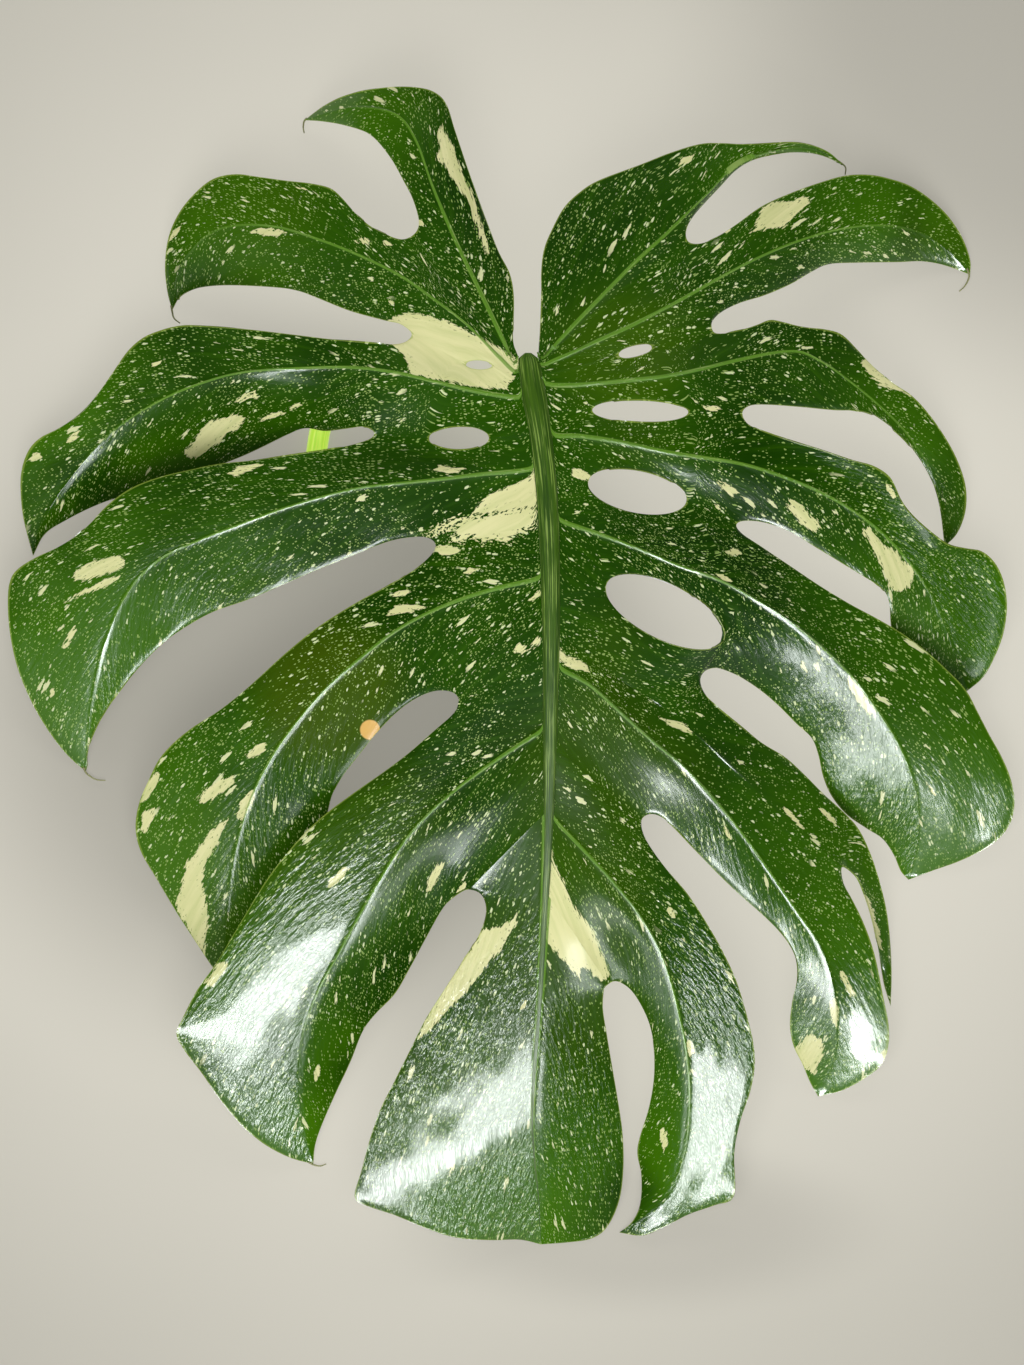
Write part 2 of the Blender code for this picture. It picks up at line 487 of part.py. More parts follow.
def make_blade(collection, material):
    bm, thickness = blade_surface()
    bm.verts.ensure_lookup_table()
    weights = [vert[thickness] for vert in bm.verts]
    mesh = bpy.data.meshes.new("leaf_blade")
    bm.to_mesh(mesh)
    bm.free()
    sheet = bpy.data.objects.new("blade_sheet", mesh)
    collection.objects.link(sheet)
    group = sheet.vertex_groups.new(name="thickness")
    for index, weight in enumerate(weights):
        group.add([index], min(max(weight, 0), 1), "REPLACE")
    solidify = sheet.modifiers.new("Thickness", "SOLIDIFY")
    solidify.thickness = MIDRIB_THICKNESS
    solidify.offset = -1
    solidify.vertex_group = group.name
    solidify.thickness_vertex_group = BLADE_THICKNESS / MIDRIB_THICKNESS
    bpy.context.view_layer.update()
    graph = bpy.context.evaluated_depsgraph_get()
    solid = bpy.data.meshes.new_from_object(sheet.evaluated_get(graph))
    bpy.data.objects.remove(sheet)
    seat_stalk(solid, underside=len(weights))
    solid.materials.clear()
    solid.materials.append(material)
    blade = bpy.data.objects.new("leaf_blade", solid)
    collection.objects.link(blade)
    return blade


def seat_stalk(solid, underside):
    """The midrib's base swells down to a flat seat just above the stalk, and the lowest tips get flat feet."""
    stalk_end = to_world(np.array([STALK_ROUTE[0][:2]], float), [0])[0]
    for vertex in solid.vertices[underside:]:
        off_axis = np.hypot(vertex.co.x - stalk_end[0], vertex.co.y - stalk_end[1])
        share = np.interp(off_axis, (SEAT_RADIUS, SEAT_REACH), (1, 0))
        vertex.co.z += share * (STALK_TOP + GAP - vertex.co.z)
        if vertex.co.z < FOOT_LIFT:
            vertex.co.z = 0


def make_stalk(collection, material):
    """The leaf stalk: thick at its knee under the blade, then bent down and along the surface to its cut end."""
    data = bpy.data.curves.new("stalk_line", "CURVE")
    data.dimensions = "3D"
    data.bevel_depth = STALK_RADIUS
    data.bevel_resolution = STALK_BEVEL_STEPS
    data.use_fill_caps = True
    spline = data.splines.new("POLY")
    route = smooth(STALK_ROUTE, steps=STALK_STEPS)
    spline.points.add(len(route) - 1)
    knots = np.arange(len(route)) / STALK_STEPS
    thick = np.interp(knots, np.arange(len(STALK_THICKENING)), STALK_THICKENING)
    for point, place, radius in zip(spline.points, route, thick):
        point.co = (*to_world(place[None, :2], [0])[0][:2], place[2] * MM, 1)
        point.radius = radius
    tube = bpy.data.objects.new("stalk_line", data)
    collection.objects.link(tube)
    bpy.context.view_layer.update()
    graph = bpy.context.evaluated_depsgraph_get()
    mesh = bpy.data.meshes.new_from_object(tube.evaluated_get(graph))
    bpy.data.objects.remove(tube)
    bm = bmesh.new()
    bm.from_mesh(mesh)
    bmesh.ops.remove_doubles(bm, verts=bm.verts[:], dist=MERGE_DISTANCE / 2)
    for vert in bm.verts:
        vert.co.z = min(max(vert.co.z, 0), STALK_TOP)
    bmesh.ops.triangulate(bm, faces=bm.faces[:])
    bmesh.ops.recalc_face_normals(bm, faces=bm.faces[:])
    bm.to_mesh(mesh)
    bm.free()
    mesh.materials.clear()
    mesh.materials.append(material)
    mesh.shade_smooth()
    stalk = bpy.data.objects.new("leaf_stalk", mesh)
    collection.objects.link(stalk)
    return stalk


def make_material(name, colour, roughness):
    material = bpy.data.materials.new(name)
    material.use_nodes = True
    shader = material.node_tree.nodes["Principled BSDF"]
    shader.inputs["Base Color"].default_value = (*colour, 1)
    shader.inputs["Roughness"].default_value = roughness
    shader.inputs["Metallic"].default_value = 0
    return material


def main():
    for old in list(bpy.data.objects):
        bpy.data.objects.remove(old)
    collection = bpy.data.collections.new("monstera_leaf")
    bpy.context.scene.collection.children.link(collection)
    make_blade(collection, make_material("deep green leaf", (0.028, 0.105, 0.012), 0.35))
    make_stalk(collection, make_material("yellow green stalk", (0.32, 0.45, 0.07), 0.45))


main()
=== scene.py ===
"""A picked monstera leaf, face up on a pale surface: its skin, ribs, cut stalk, light and camera.

The leaf is drawn on a sheet seen from above, x to the right and y down, SHEET_UNIT a unit, as its solids
are. Each lobe has its side vein, from the midrib to its tip, and its two margins. before is the margin on
the leaf base's side and after is the one on the leaf tip's side. Heights are in millimetres.

A lobe's pairs are for those two sides: folds is how steeply the skin falls from the vein, slack how loosely
it hangs, dull how little it shines and droop how far its margin curls down. lift raises the joint with the
next lobe. hole is the centre, half length, half width and tilt of the hole in that joint. waist, where it
is given, is the place beside the vein where the lobe comes free.
"""

import bpy
import numpy as np
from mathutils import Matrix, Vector, noise


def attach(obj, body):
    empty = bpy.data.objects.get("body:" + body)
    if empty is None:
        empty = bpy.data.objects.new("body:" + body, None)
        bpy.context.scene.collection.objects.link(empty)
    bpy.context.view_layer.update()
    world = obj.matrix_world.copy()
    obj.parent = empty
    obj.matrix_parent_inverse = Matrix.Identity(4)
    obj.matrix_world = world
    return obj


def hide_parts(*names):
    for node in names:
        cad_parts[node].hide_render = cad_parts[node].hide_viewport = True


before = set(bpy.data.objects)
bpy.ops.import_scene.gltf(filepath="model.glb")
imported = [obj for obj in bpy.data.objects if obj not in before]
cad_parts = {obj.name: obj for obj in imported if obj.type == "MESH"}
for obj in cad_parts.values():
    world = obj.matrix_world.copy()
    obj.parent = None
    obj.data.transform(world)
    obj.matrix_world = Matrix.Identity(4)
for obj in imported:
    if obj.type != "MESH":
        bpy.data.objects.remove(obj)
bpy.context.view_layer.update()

MM = 0.001
SHEET_UNIT = 0.45 * MM
SHEET_CENTRE = np.array((511.7, 667))
PICTURE_CENTRE = (512, 682.5)
PICTURE_HEIGHT = 1365

SKIN_THICKNESS = 0.6 * MM
RIB_THICKNESS = 2.6 * MM
LOWEST_TOP_FACE = 0.9 * MM
FOOT_LIFT = 0.5 * MM
MERGE_DISTANCE = 0.01 * MM
FOLD_ROUNDING = 1.35
FOLD_START = 34 * MM
SLOT_LIP = 20 * MM

ROWS_TO_HOLE = 9
ROWS_OF_HOLE = 32
ROWS_TO_SLOT = 9
SEAM_ROWS = ROWS_TO_HOLE + ROWS_OF_HOLE + ROWS_TO_SLOT
MARGIN_ROWS = 82
ROWS = SEAM_ROWS + MARGIN_ROWS
SOLIDS_ROWS = 22
COLUMN_WIDTH = 2.2 * MM
COLUMN_CROWDING = 1.6
COLUMNS_ALLOWED = (14, 34)
BEND_REACH = 22
SMOOTHING_ROWS = 7
END_ROWS = 12
JOINT_FADES = (SEAM_ROWS - 4, SEAM_ROWS + 24)
COMES_LOOSE = (SEAM_ROWS, SEAM_ROWS + 21)
NOTCH_COMES_LOOSE = (12, 36)

MARGIN_WAVE = 0.4 * MM
WAVE_LENGTHS = (7.4 * MM, 4.1 * MM)
SWELLING = 0.4 * MM
SWELLING_SIZE = (30 * MM, 12 * MM)
SLACK_SWELLING_SIZE = (15 * MM, 4.5 * MM)
EDGE_ROLL = 0.45 * MM
EDGE_ROLL_WIDTH = 1.2 * MM
FAR_FROM_EDGE = 9 * MM
FAR_FROM_VEIN = 30 * MM

VEIN_HOOK = 8
MIDRIB = [(528, 357), (533, 390), (541, 440), (547, 500), (550, 570), (551, 640), (550, 720), (549, 800),
          (547, 860), (543, 940), (539, 1010), (534, 1075), (532, 1120), (535, 1165), (539, 1205),
          (541, 1248)]
MIDRIB_HALF_WIDTHS = [(357, 10), (400, 12), (440, 10.5), (520, 10), (580, 9), (640, 8), (760, 6), (820, 4),
                      (900, 3), (1100, 1.5), (1248, 0)]
MIDRIB_RINGS = 170
MIDRIB_SIDES = 28
MIDRIB_CROWN = 0.42
MIDRIB_KEEL = 5.6 * MM
MIDRIB_SINK = 0.1 * MM
MIDRIB_FLUTES = 0.05 * MM
MIDRIB_HEIGHTS = [(357, 69), (430, 76), (500, 80), (600, 84), (700, 83), (820, 75), (920, 64.5), (1000, 55.5),
                  (1090, 41.5), (1170, 24.5), (1248, 1)]

LEFT_LOBES = [
    dict(root=365, tip=(303, 117), folds=(0.45, 0.25), heights=[66, 60, 52, 38, 6],
         vein=[(499, 332), (481, 294), (455, 240), (432, 185), (416, 140), (395, 113), (350, 106)],
         before=[(513, 340), (514, 300), (510, 275), (499, 253), (488, 225), (470, 175), (455, 130),
                 (447, 105), (437, 93), (420, 87), (390, 86), (350, 92), (325, 102)],
         after=[(419, 222), (413, 200), (404, 182), (390, 157), (370, 134), (345, 124), (322, 119)],
         slot_end=(415, 234), hole=None),
    dict(root=373, tip=(170, 308), folds=(0.25, 0.18), heights=[68, 62, 52, 38, 18, 0],
         vein=[(470, 328), (430, 297), (400, 276), (360, 256), (320, 240), (270, 225), (215, 228),
               (180, 262)],
         before=[(403, 240), (388, 236), (370, 227), (355, 213), (342, 198), (330, 188), (310, 183),
                 (285, 180), (258, 176), (235, 173), (213, 177), (195, 190), (178, 210), (167, 234),
                 (163, 262), (165, 288)],
         after=[(401, 325), (385, 321), (350, 311), (318, 298), (300, 291), (280, 287), (240, 284),
                (213, 284), (193, 287), (178, 295)],
         slot_end=(412, 335), hole=(479, 366, 13, 4.5, -3)),
    dict(root=399, tip=(30, 555), dull=(0, 1), folds=(0.15, 0.7), heights=[70, 66, 60, 56, 42, 28, 15, 0],
         vein=[(480, 393), (440, 384), (400, 374), (355, 368), (300, 369), (245, 372), (205, 382),
               (160, 400), (110, 432), (65, 482), (38, 525)],
         before=[(403, 344), (385, 345), (340, 341), (300, 336), (250, 330), (200, 326), (178, 326),
                 (158, 331), (142, 338), (127, 351), (112, 372), (97, 393), (80, 412), (58, 427),
                 (38, 437), (26, 450), (19, 470), (18, 492), (21, 520)],
         after=[(368, 427), (345, 429), (325, 431), (305, 428), (288, 434), (265, 445), (243, 455),
                (215, 466), (180, 482), (145, 492), (115, 497), (90, 506), (62, 520), (42, 533)],
         slot_end=(374, 436), hole=(459, 439, 30, 12, 0)),
    dict(root=471, tip=(83, 772), dull=(0, 0.6), folds=(0.25, 0.06), heights=[74, 66, 56, 42, 25, 0],
         vein=[(480, 475), (440, 480), (400, 484), (360, 488), (320, 498), (280, 510), (240, 525),
               (200, 540), (160, 558), (128, 590), (105, 640), (90, 700)],
         before=[(360, 443), (330, 450), (290, 456), (250, 461), (220, 464), (190, 470), (160, 477),
                 (135, 486), (117, 497), (103, 509), (90, 523), (75, 536), (55, 548), (35, 557),
                 (16, 569), (8, 582), (6, 603), (8, 633), (15, 667), (28, 700), (45, 730), (64, 755)],
         after=[(428, 538), (408, 538), (385, 543), (355, 555), (320, 569), (285, 584), (250, 599),
                (215, 611), (190, 624), (165, 641), (142, 663), (120, 688), (101, 714), (88, 740)],
         slot_end=(436, 546), hole=None),
    dict(root=580, tip=(222, 985), dull=(0.4, 0.95), folds=(0.25, 0.1), heights=[78, 70, 58, 40, 20, 3],
         vein=[(500, 588), (460, 600), (420, 617), (390, 635), (360, 659), (330, 685), (303, 715),
               (275, 752), (250, 800), (233, 860), (225, 925)],
         before=[(431, 556), (415, 570), (395, 583), (360, 601), (320, 626), (285, 654), (250, 686),
                 (220, 710), (193, 727), (173, 743), (158, 760), (148, 780), (138, 803), (134, 828),
                 (139, 852), (155, 880), (175, 914), (195, 945), (210, 968)],
         after=[(452, 692), (435, 691), (415, 699), (395, 714), (375, 735), (360, 754), (345, 773),
                (333, 793), (327, 815), (320, 842), (305, 875), (285, 908), (262, 940), (240, 968)],
         slot_end=(459, 700), hole=None),
    dict(root=733, tip=(312, 1167), slack=(0.6, 0.2), dull=(0, 1), lift=5, droop=(7, 0),
         folds=(-0.18, 0.6), heights=[77, 68, 57, 40.5, 22.5, 0],
         vein=[(520, 744), (490, 764), (460, 786), (430, 812), (405, 840), (383, 875), (360, 915),
               (338, 955), (317, 993), (302, 1035), (298, 1080), (302, 1130)],
         before=[(455, 712), (435, 730), (410, 752), (385, 771), (355, 792), (328, 812), (308, 830),
                 (288, 852), (268, 878), (250, 907), (232, 937), (215, 965), (197, 990), (184, 1015),
                 (176, 1034), (183, 1050), (200, 1073), (220, 1102), (242, 1129), (265, 1148), (290, 1161)],
         after=[(457, 894), (443, 908), (425, 940), (410, 968), (395, 994), (375, 1015), (362, 1033),
                (350, 1063), (335, 1095), (321, 1127), (314, 1148)],
         slot_end=(469, 889), hole=None),
]
LEFT_TIP = dict(root=813, fold=0.06, slack=(1.0, 0),
                before=[(482, 894), (487, 908), (483, 926), (473, 946), (457, 970), (440, 996), (425, 1020),
                        (410, 1050), (395, 1080), (380, 1110), (369, 1142), (361, 1172), (354, 1198),
                        (366, 1207), (395, 1217), (425, 1230), (455, 1240), (490, 1243), (520, 1243)])

RIGHT_LOBES = [
    dict(root=361, tip=(847, 164), folds=(0.3, 0.5), heights=[68, 62, 52, 38, 10],
         vein=[(570, 330), (602, 297), (637, 261), (665, 236), (689, 212), (711, 191), (735, 165),
               (770, 150), (810, 147)],
         before=[(541, 325), (542, 300), (541, 275), (544, 250), (553, 228), (564, 208), (578, 194),
                 (598, 181), (640, 165), (670, 153), (700, 144), (722, 143), (745, 144), (772, 143),
                 (803, 142), (828, 149)],
         after=[(686, 230), (693, 217), (706, 202), (721, 186), (736, 170), (752, 160), (772, 154),
                (797, 151), (822, 153)],
         slot_end=(688, 242), hole=None),
    dict(root=367, tip=(973, 272), folds=(0.25, 0.18), heights=[68, 62, 50, 32, 14, 0],
         vein=[(600, 341), (640, 322), (680, 301), (720, 278), (760, 257), (800, 240), (845, 227),
               (895, 224), (940, 238)],
         before=[(700, 244), (716, 238), (737, 224), (762, 206), (792, 192), (822, 181), (847, 174),
                 (872, 173), (893, 177), (913, 184), (933, 197), (951, 214), (965, 235), (973, 257)],
         after=[(712, 322), (722, 312), (740, 303), (765, 295), (792, 283), (812, 271), (830, 263),
                (860, 261), (900, 260), (925, 259), (948, 263)],
         slot_end=(713, 332), hole=(635, 352, 17, 6, 14)),
    dict(root=386, tip=(947, 546), folds=(0.3, 0.14), heights=[70, 65, 54, 42, 28, 15, 6],
         vein=[(580, 386), (620, 382), (660, 378), (700, 370), (740, 360), (793, 350), (822, 361),
               (850, 381), (880, 405), (908, 432), (932, 468), (947, 505)],
         before=[(722, 334), (740, 331), (757, 325), (770, 320), (783, 322), (803, 327), (825, 329),
                 (842, 334), (857, 348), (872, 364), (892, 381), (912, 394), (928, 410), (945, 433),
                 (959, 458), (968, 485), (968, 510), (960, 532)],
         after=[(750, 406), (768, 405), (800, 407), (835, 410), (866, 411), (886, 422), (905, 438),
                (922, 459), (935, 482), (942, 507)],
         slot_end=(742, 413), hole=(640, 412, 48, 11.5, -1)),
    dict(root=437, tip=(970, 691), slack=(0.4, 0.1), dull=(0.9, 0.4), droop=(-3.5, 0),
         folds=(0.15, 0.08), heights=[74, 66, 54, 40, 24, 4],
         vein=[(580, 437), (620, 443), (660, 452), (700, 458), (740, 464), (780, 476), (820, 492),
               (855, 512), (885, 535), (912, 565), (935, 600), (952, 640)],
         before=[(747, 424), (762, 432), (790, 441), (820, 450), (850, 460), (873, 466), (889, 476),
                 (897, 490), (903, 505), (915, 519), (935, 536), (950, 546), (968, 549), (983, 551),
                 (996, 562), (1005, 580), (1009, 605), (1006, 632), (998, 655), (986, 677)],
         after=[(745, 521), (765, 523), (790, 532), (815, 547), (840, 562), (865, 577), (883, 588),
                (890, 603), (893, 630), (906, 655), (928, 677), (950, 689)],
         slot_end=(736, 525), hole=(637, 492, 50, 21.5, -11)),
    dict(root=523, tip=(911, 881), slack=(0.1, 0.4), dull=(0, 0.6), droop=(0, 2),
         folds=(0.18, 0.13), heights=[77, 70, 58, 42, 24, 0],
         vein=[(600, 535), (640, 550), (680, 567), (720, 580), (755, 600), (790, 622), (825, 650),
               (855, 680), (880, 714), (903, 752), (918, 795), (920, 840)],
         before=[(742, 534), (760, 546), (790, 566), (820, 586), (850, 604), (880, 620), (905, 635),
                 (928, 652), (950, 672), (967, 690), (979, 712), (991, 735), (1004, 758), (1013, 780),
                 (1017, 803), (1012, 826), (995, 845), (965, 861), (935, 872)],
         after=[(714, 668), (724, 670), (740, 677), (760, 690), (778, 705), (797, 724), (812, 738),
                (819, 755), (824, 777), (833, 797), (848, 815), (868, 829), (885, 840), (896, 856),
                (903, 872)],
         slot_end=(705, 671), hole=(665, 612, 65, 27.5, -26), waist=(788, 619)),
    dict(root=671, tip=(820, 1099), dull=(0, 0.5), folds=(0.2, 0.14), heights=[80, 72, 54, 38, 22, 0],
         vein=[(590, 685), (620, 712), (650, 739), (680, 764), (710, 795), (740, 831), (770, 873),
               (797, 912), (818, 942), (831, 975), (838, 1015), (836, 1060)],
         before=[(699, 679), (703, 692), (716, 707), (737, 724), (762, 743), (785, 757), (805, 775),
                 (825, 795), (845, 813), (860, 830), (872, 855), (882, 885), (889, 915), (893, 950),
                 (894, 980)],
         after=[(648, 814), (658, 815), (672, 825), (692, 847), (716, 872), (741, 896), (765, 917),
                (785, 938), (796, 957), (798, 978), (793, 1003), (791, 1028), (795, 1048), (804, 1066),
                (812, 1085)],
         slot_end=(641, 820), hole=None),
    dict(root=823, tip=(620, 1236), slack=(1.0, 0.4), dull=(0, 1), lift=4,
         folds=(0.06, 0.4), heights=[72, 62, 48, 32, 16, 1],
         vein=[(580, 846), (610, 878), (638, 913), (657, 945), (670, 980), (679, 1015), (687, 1055),
               (690, 1100), (686, 1150), (668, 1200)],
         before=[(643, 834), (653, 851), (668, 871), (687, 893), (706, 922), (722, 950), (736, 980),
                 (746, 1012), (754, 1045), (755, 1070), (750, 1095), (741, 1122), (735, 1155),
                 (735, 1198), (715, 1208), (690, 1217), (665, 1230), (643, 1239)],
         after=[(617, 981), (630, 989), (641, 1005), (650, 1026), (654, 1050), (654, 1080), (649, 1110),
                (638, 1150), (642, 1178), (641, 1207), (633, 1225)],
         slot_end=(608, 984), hole=None),
]
RIGHT_TIP = dict(root=895, fold=0.5, slack=(0.7, 0), dull=(0.85, 0),
                 before=[(603, 992), (603, 1010), (607, 1035), (612, 1065), (618, 1100), (623, 1135),
                         (624, 1170), (620, 1203), (608, 1230), (592, 1242), (568, 1246)])

USUAL_MANNER = dict(slack=(0.1, 0.1), dull=(0, 0), droop=(0, 0), joint_dull=(0, 0))

FINGER_LOBE = 5
FINGER_ROWS = 96
FINGER_SEAM_SHARE = 0.33
FINGER_MANNER = dict(dull=0, joint_dull=0, droop=0, rounding=1)
FINGER_TIP = (893, 1008)
FINGER_ROOT = 634
FINGER_LINE = [(620, 680), (660, 706), (700, 738), (740, 775), (780, 812), (815, 843)]
FINGER_SLOT_END = (843, 867)
FINGER_INNER_EDGE = [(857, 876), (868, 900), (876, 927), (881, 955), (886, 985)]
BODY_EDGE = [(844, 883), (853, 900), (863, 920), (872, 943), (878, 965), (884, 995), (890, 1025),
             (890, 1048), (883, 1067), (866, 1081), (844, 1093)]

LYING = 3.9
STALK_RADIUS = 4.7 * MM
STALK_ROUTE = [(529, 374, 66), (528, 376, 50), (523, 380, 36), (508, 385, 22), (480, 388, 11), (448, 388, 6),
               (415, 385, LYING), (385, 383, LYING), (356, 388, LYING), (334, 402, LYING),
               (321, 423, LYING), (316, 447, LYING), (313, 480, LYING), (311, 515, LYING), (308, 552, LYING)]
STALK_THICKENING = [1.14, 1.14, 1.1, 1.05, 1.0]
STALK_STEPS = 9
STALK_SIDES = 40
STALK_WRINKLES = 0.11 * MM

TIP_THREADS = [[(306, 115, 5.4), (303, 118, 4.6), (302, 124, 3.6), (303, 130, 3)],
               [(169, 303, 1.3), (170, 309, 1.3), (172, 316, 1.3), (178, 321, 1.3)],
               [(81, 768, 1.3), (84, 774, 1.3), (93, 780, 1.3), (103, 781, 1.3)],
               [(307, 1165, 1.3), (313, 1168, 1.3), (319, 1169, 1.3), (325, 1167, 1.3)],
               [(829, 152, 10), (838, 157, 9), (847, 164, 8), (847, 172, 7)],
               [(970, 266, 1.3), (972, 274, 1.3), (968, 283, 1.3), (962, 289, 1.3)]]
THREAD_STEPS = 5
THREAD_SIDES = 8
THREAD_RADII = (0.5, 0.25)

CREAM_PATCHES = [
    [(387, 322), (396, 316), (412, 313), (432, 317), (450, 323), (466, 331), (485, 341), (503, 351),
     (519, 361), (519, 369), (513, 374), (515, 380), (507, 385), (508, 391), (488, 389), (468, 387),
     (448, 383), (428, 379), (411, 375), (409, 366), (404, 358), (398, 350), (390, 344)],
    [(539, 462), (537, 508), (516, 510), (494, 512), (471, 516), (478, 506), (490, 495), (510, 486),
     (530, 478)],
    [(434, 548), (448, 545), (462, 550), (452, 556), (440, 555)],
    [(550, 838), (553, 862), (558, 872), (566, 886), (572, 902), (581, 915), (590, 925), (597, 940),
     (603, 955), (610, 973), (605, 982), (594, 975), (586, 967), (581, 968), (580, 980), (570, 966),
     (560, 957), (551, 947), (544, 938), (546, 900), (548, 868)],
    [(480, 932), (492, 927), (502, 926), (510, 920), (518, 911), (516, 925), (508, 935), (503, 945),
     (495, 955), (486, 967), (477, 979), (466, 992), (453, 1005), (443, 1014), (434, 1027), (415, 1041),
     (430, 1010), (445, 985), (462, 958)],
    [(229, 817), (222, 832), (213, 850), (204, 866), (201, 882), (204, 900), (208, 922), (204, 940),
     (203, 960), (194, 945), (183, 925), (172, 906), (178, 895), (181, 878), (185, 866), (196, 850),
     (210, 832), (220, 824)],
    [(442, 125), (450, 140), (458, 160), (466, 180), (474, 200), (480, 220), (487, 243), (491, 259),
     (484, 250), (478, 232), (472, 216), (466, 200), (458, 187), (452, 178), (444, 164), (435, 160),
     (440, 146), (437, 131)],
    [(748, 233), (757, 222), (762, 208), (775, 200), (790, 201), (805, 196), (812, 197), (806, 208),
     (795, 214), (786, 226), (770, 229), (758, 230)],
    [(862, 361), (870, 358), (880, 370), (892, 380), (905, 388), (912, 396), (898, 390), (884, 386),
     (870, 375), (864, 368)],
    [(785, 502), (795, 500), (803, 508), (812, 517), (820, 522), (820, 532), (812, 532), (802, 525),
     (792, 514)],
    [(862, 528), (870, 527), (876, 535), (884, 545), (896, 550), (904, 560), (915, 568), (914, 577),
     (910, 588), (898, 592), (890, 588), (886, 575), (878, 560), (868, 540)],
    [(884, 484), (892, 486), (897, 497), (894, 499), (888, 492)],
    [(183, 449), (192, 444), (198, 432), (206, 422), (222, 417), (240, 413), (244, 418), (240, 428),
     (228, 432), (218, 443), (205, 452), (192, 458), (186, 456)],
    [(256, 421), (268, 415), (285, 410), (300, 402), (310, 400), (298, 408), (284, 414), (268, 420),
     (258, 423)],
    [(229, 402), (240, 395), (255, 391), (258, 395), (264, 399), (252, 398), (240, 402)],
    [(147, 366), (155, 360), (162, 359), (161, 364), (152, 367)],
    [(62, 442), (70, 434), (82, 428), (80, 434), (70, 442)],
    [(22, 462), (34, 450), (44, 456), (34, 460)],
    [(72, 581), (76, 570), (90, 562), (110, 557), (124, 556), (124, 568), (112, 572), (96, 577), (84, 580)],
    [(51, 605), (70, 597), (85, 588), (104, 580), (122, 572), (118, 580), (100, 590), (86, 593), (70, 600)],
    [(59, 650), (66, 636), (74, 624), (79, 624), (72, 638), (64, 650)],
    [(228, 473), (240, 466), (255, 464), (266, 465), (252, 470), (240, 475), (230, 477)],
    [(46, 698), (47, 690), (53, 686), (52, 697)],
    [(244, 757), (256, 745), (268, 742), (266, 750), (255, 757), (246, 760)],
    [(194, 804), (204, 790), (220, 780), (236, 774), (234, 783), (220, 794), (206, 802)],
    [(236, 818), (240, 802), (250, 790), (256, 790), (252, 806), (240, 822)],
    [(138, 803), (145, 783), (155, 770), (160, 776), (152, 790), (144, 803)],
    [(139, 832), (142, 812), (154, 808), (152, 822), (144, 834)],
    [(200, 985), (212, 975), (216, 964), (228, 962), (224, 974), (216, 983), (212, 992), (206, 984)],
    [(322, 892), (330, 880), (342, 868), (352, 863), (345, 876), (333, 887)],
    [(424, 892), (428, 880), (438, 862), (445, 862), (438, 878), (430, 892)],
    [(455, 893), (462, 884), (467, 880), (466, 888)],
    [(312, 1086), (314, 1070), (320, 1062), (319, 1078)],
    [(677, 166), (682, 158), (695, 155), (690, 163)],
    [(722, 232), (726, 228), (732, 229), (728, 234)],
    [(697, 405), (710, 408), (718, 405), (722, 410), (708, 413)],
    [(714, 481), (722, 482), (736, 490), (741, 498), (730, 496), (720, 488)],
    [(705, 502), (714, 503), (728, 510), (718, 510)],
    [(570, 471), (580, 469), (592, 478), (590, 482), (578, 480), (572, 477)],
    [(846, 675), (854, 678), (862, 690), (870, 702), (876, 715), (868, 714), (858, 702), (850, 690)],
    [(724, 551), (736, 548), (743, 555), (730, 557)],
    [(714, 574), (724, 575), (732, 582), (722, 581)],
    [(692, 599), (700, 600), (704, 607), (696, 604)],
    [(924, 780), (932, 786), (940, 797), (934, 795)],
    [(940, 770), (946, 772), (951, 784), (946, 783)],
    [(656, 716), (670, 720), (682, 722), (693, 733), (682, 732), (670, 726)],
    [(780, 806), (788, 808), (800, 822), (806, 832), (796, 824)],
    [(815, 804), (824, 808), (834, 818), (840, 827), (830, 822)],
    [(722, 822), (726, 826), (732, 839), (727, 839)],
    [(797, 1050), (803, 1042), (810, 1035), (818, 1038), (825, 1044), (824, 1058), (820, 1068), (818, 1078),
     (808, 1072), (800, 1062), (792, 1054)],
    [(830, 1002), (836, 998), (840, 1010), (838, 1028), (832, 1022)],
    [(838, 970), (844, 971), (850, 983), (857, 996), (852, 999), (846, 988)],
    [(878, 1062), (884, 1052), (892, 1048), (890, 1062), (882, 1066)],
    [(866, 892), (873, 905), (881, 930), (885, 952), (879, 945), (871, 920)],
    [(664, 906), (670, 906), (678, 918), (672, 918)],
    [(686, 1040), (692, 1040), (696, 1052), (690, 1058)],
    [(660, 1132), (667, 1128), (668, 1145), (663, 1156)],
    [(445, 1152), (452, 1150), (455, 1165), (450, 1180), (445, 1172)],
    [(518, 1014), (522, 1003), (527, 998), (525, 1008)],
    [(460, 573), (470, 568), (480, 569), (470, 575)],
    [(387, 616), (397, 605), (415, 604), (428, 608), (412, 612), (400, 614)],
    [(388, 597), (400, 591), (413, 589), (408, 596)],
    [(482, 631), (490, 626), (500, 625), (494, 632)],
    [(507, 652), (520, 643), (528, 648), (538, 637), (542, 640), (534, 648), (522, 654)],
    [(515, 609), (526, 602), (540, 590), (542, 595), (530, 603)],
    [(558, 645), (564, 655), (580, 660), (590, 669), (586, 672), (570, 668), (559, 660)],
    [(433, 470), (440, 466), (455, 469), (468, 467), (460, 473), (446, 475)],
    [(248, 231), (262, 227), (280, 229), (288, 233), (276, 236), (262, 235)],
    [(352, 242), (362, 238), (374, 240), (370, 245), (358, 244)],
    [(378, 242), (388, 241), (396, 246), (386, 247)],
    [(166, 240), (172, 228), (182, 221), (176, 232)],
    [(290, 184), (306, 186), (312, 190), (300, 189)],
    [(414, 217), (422, 222), (426, 228), (418, 226)],
    [(384, 302), (396, 300), (402, 303), (390, 305)],
]
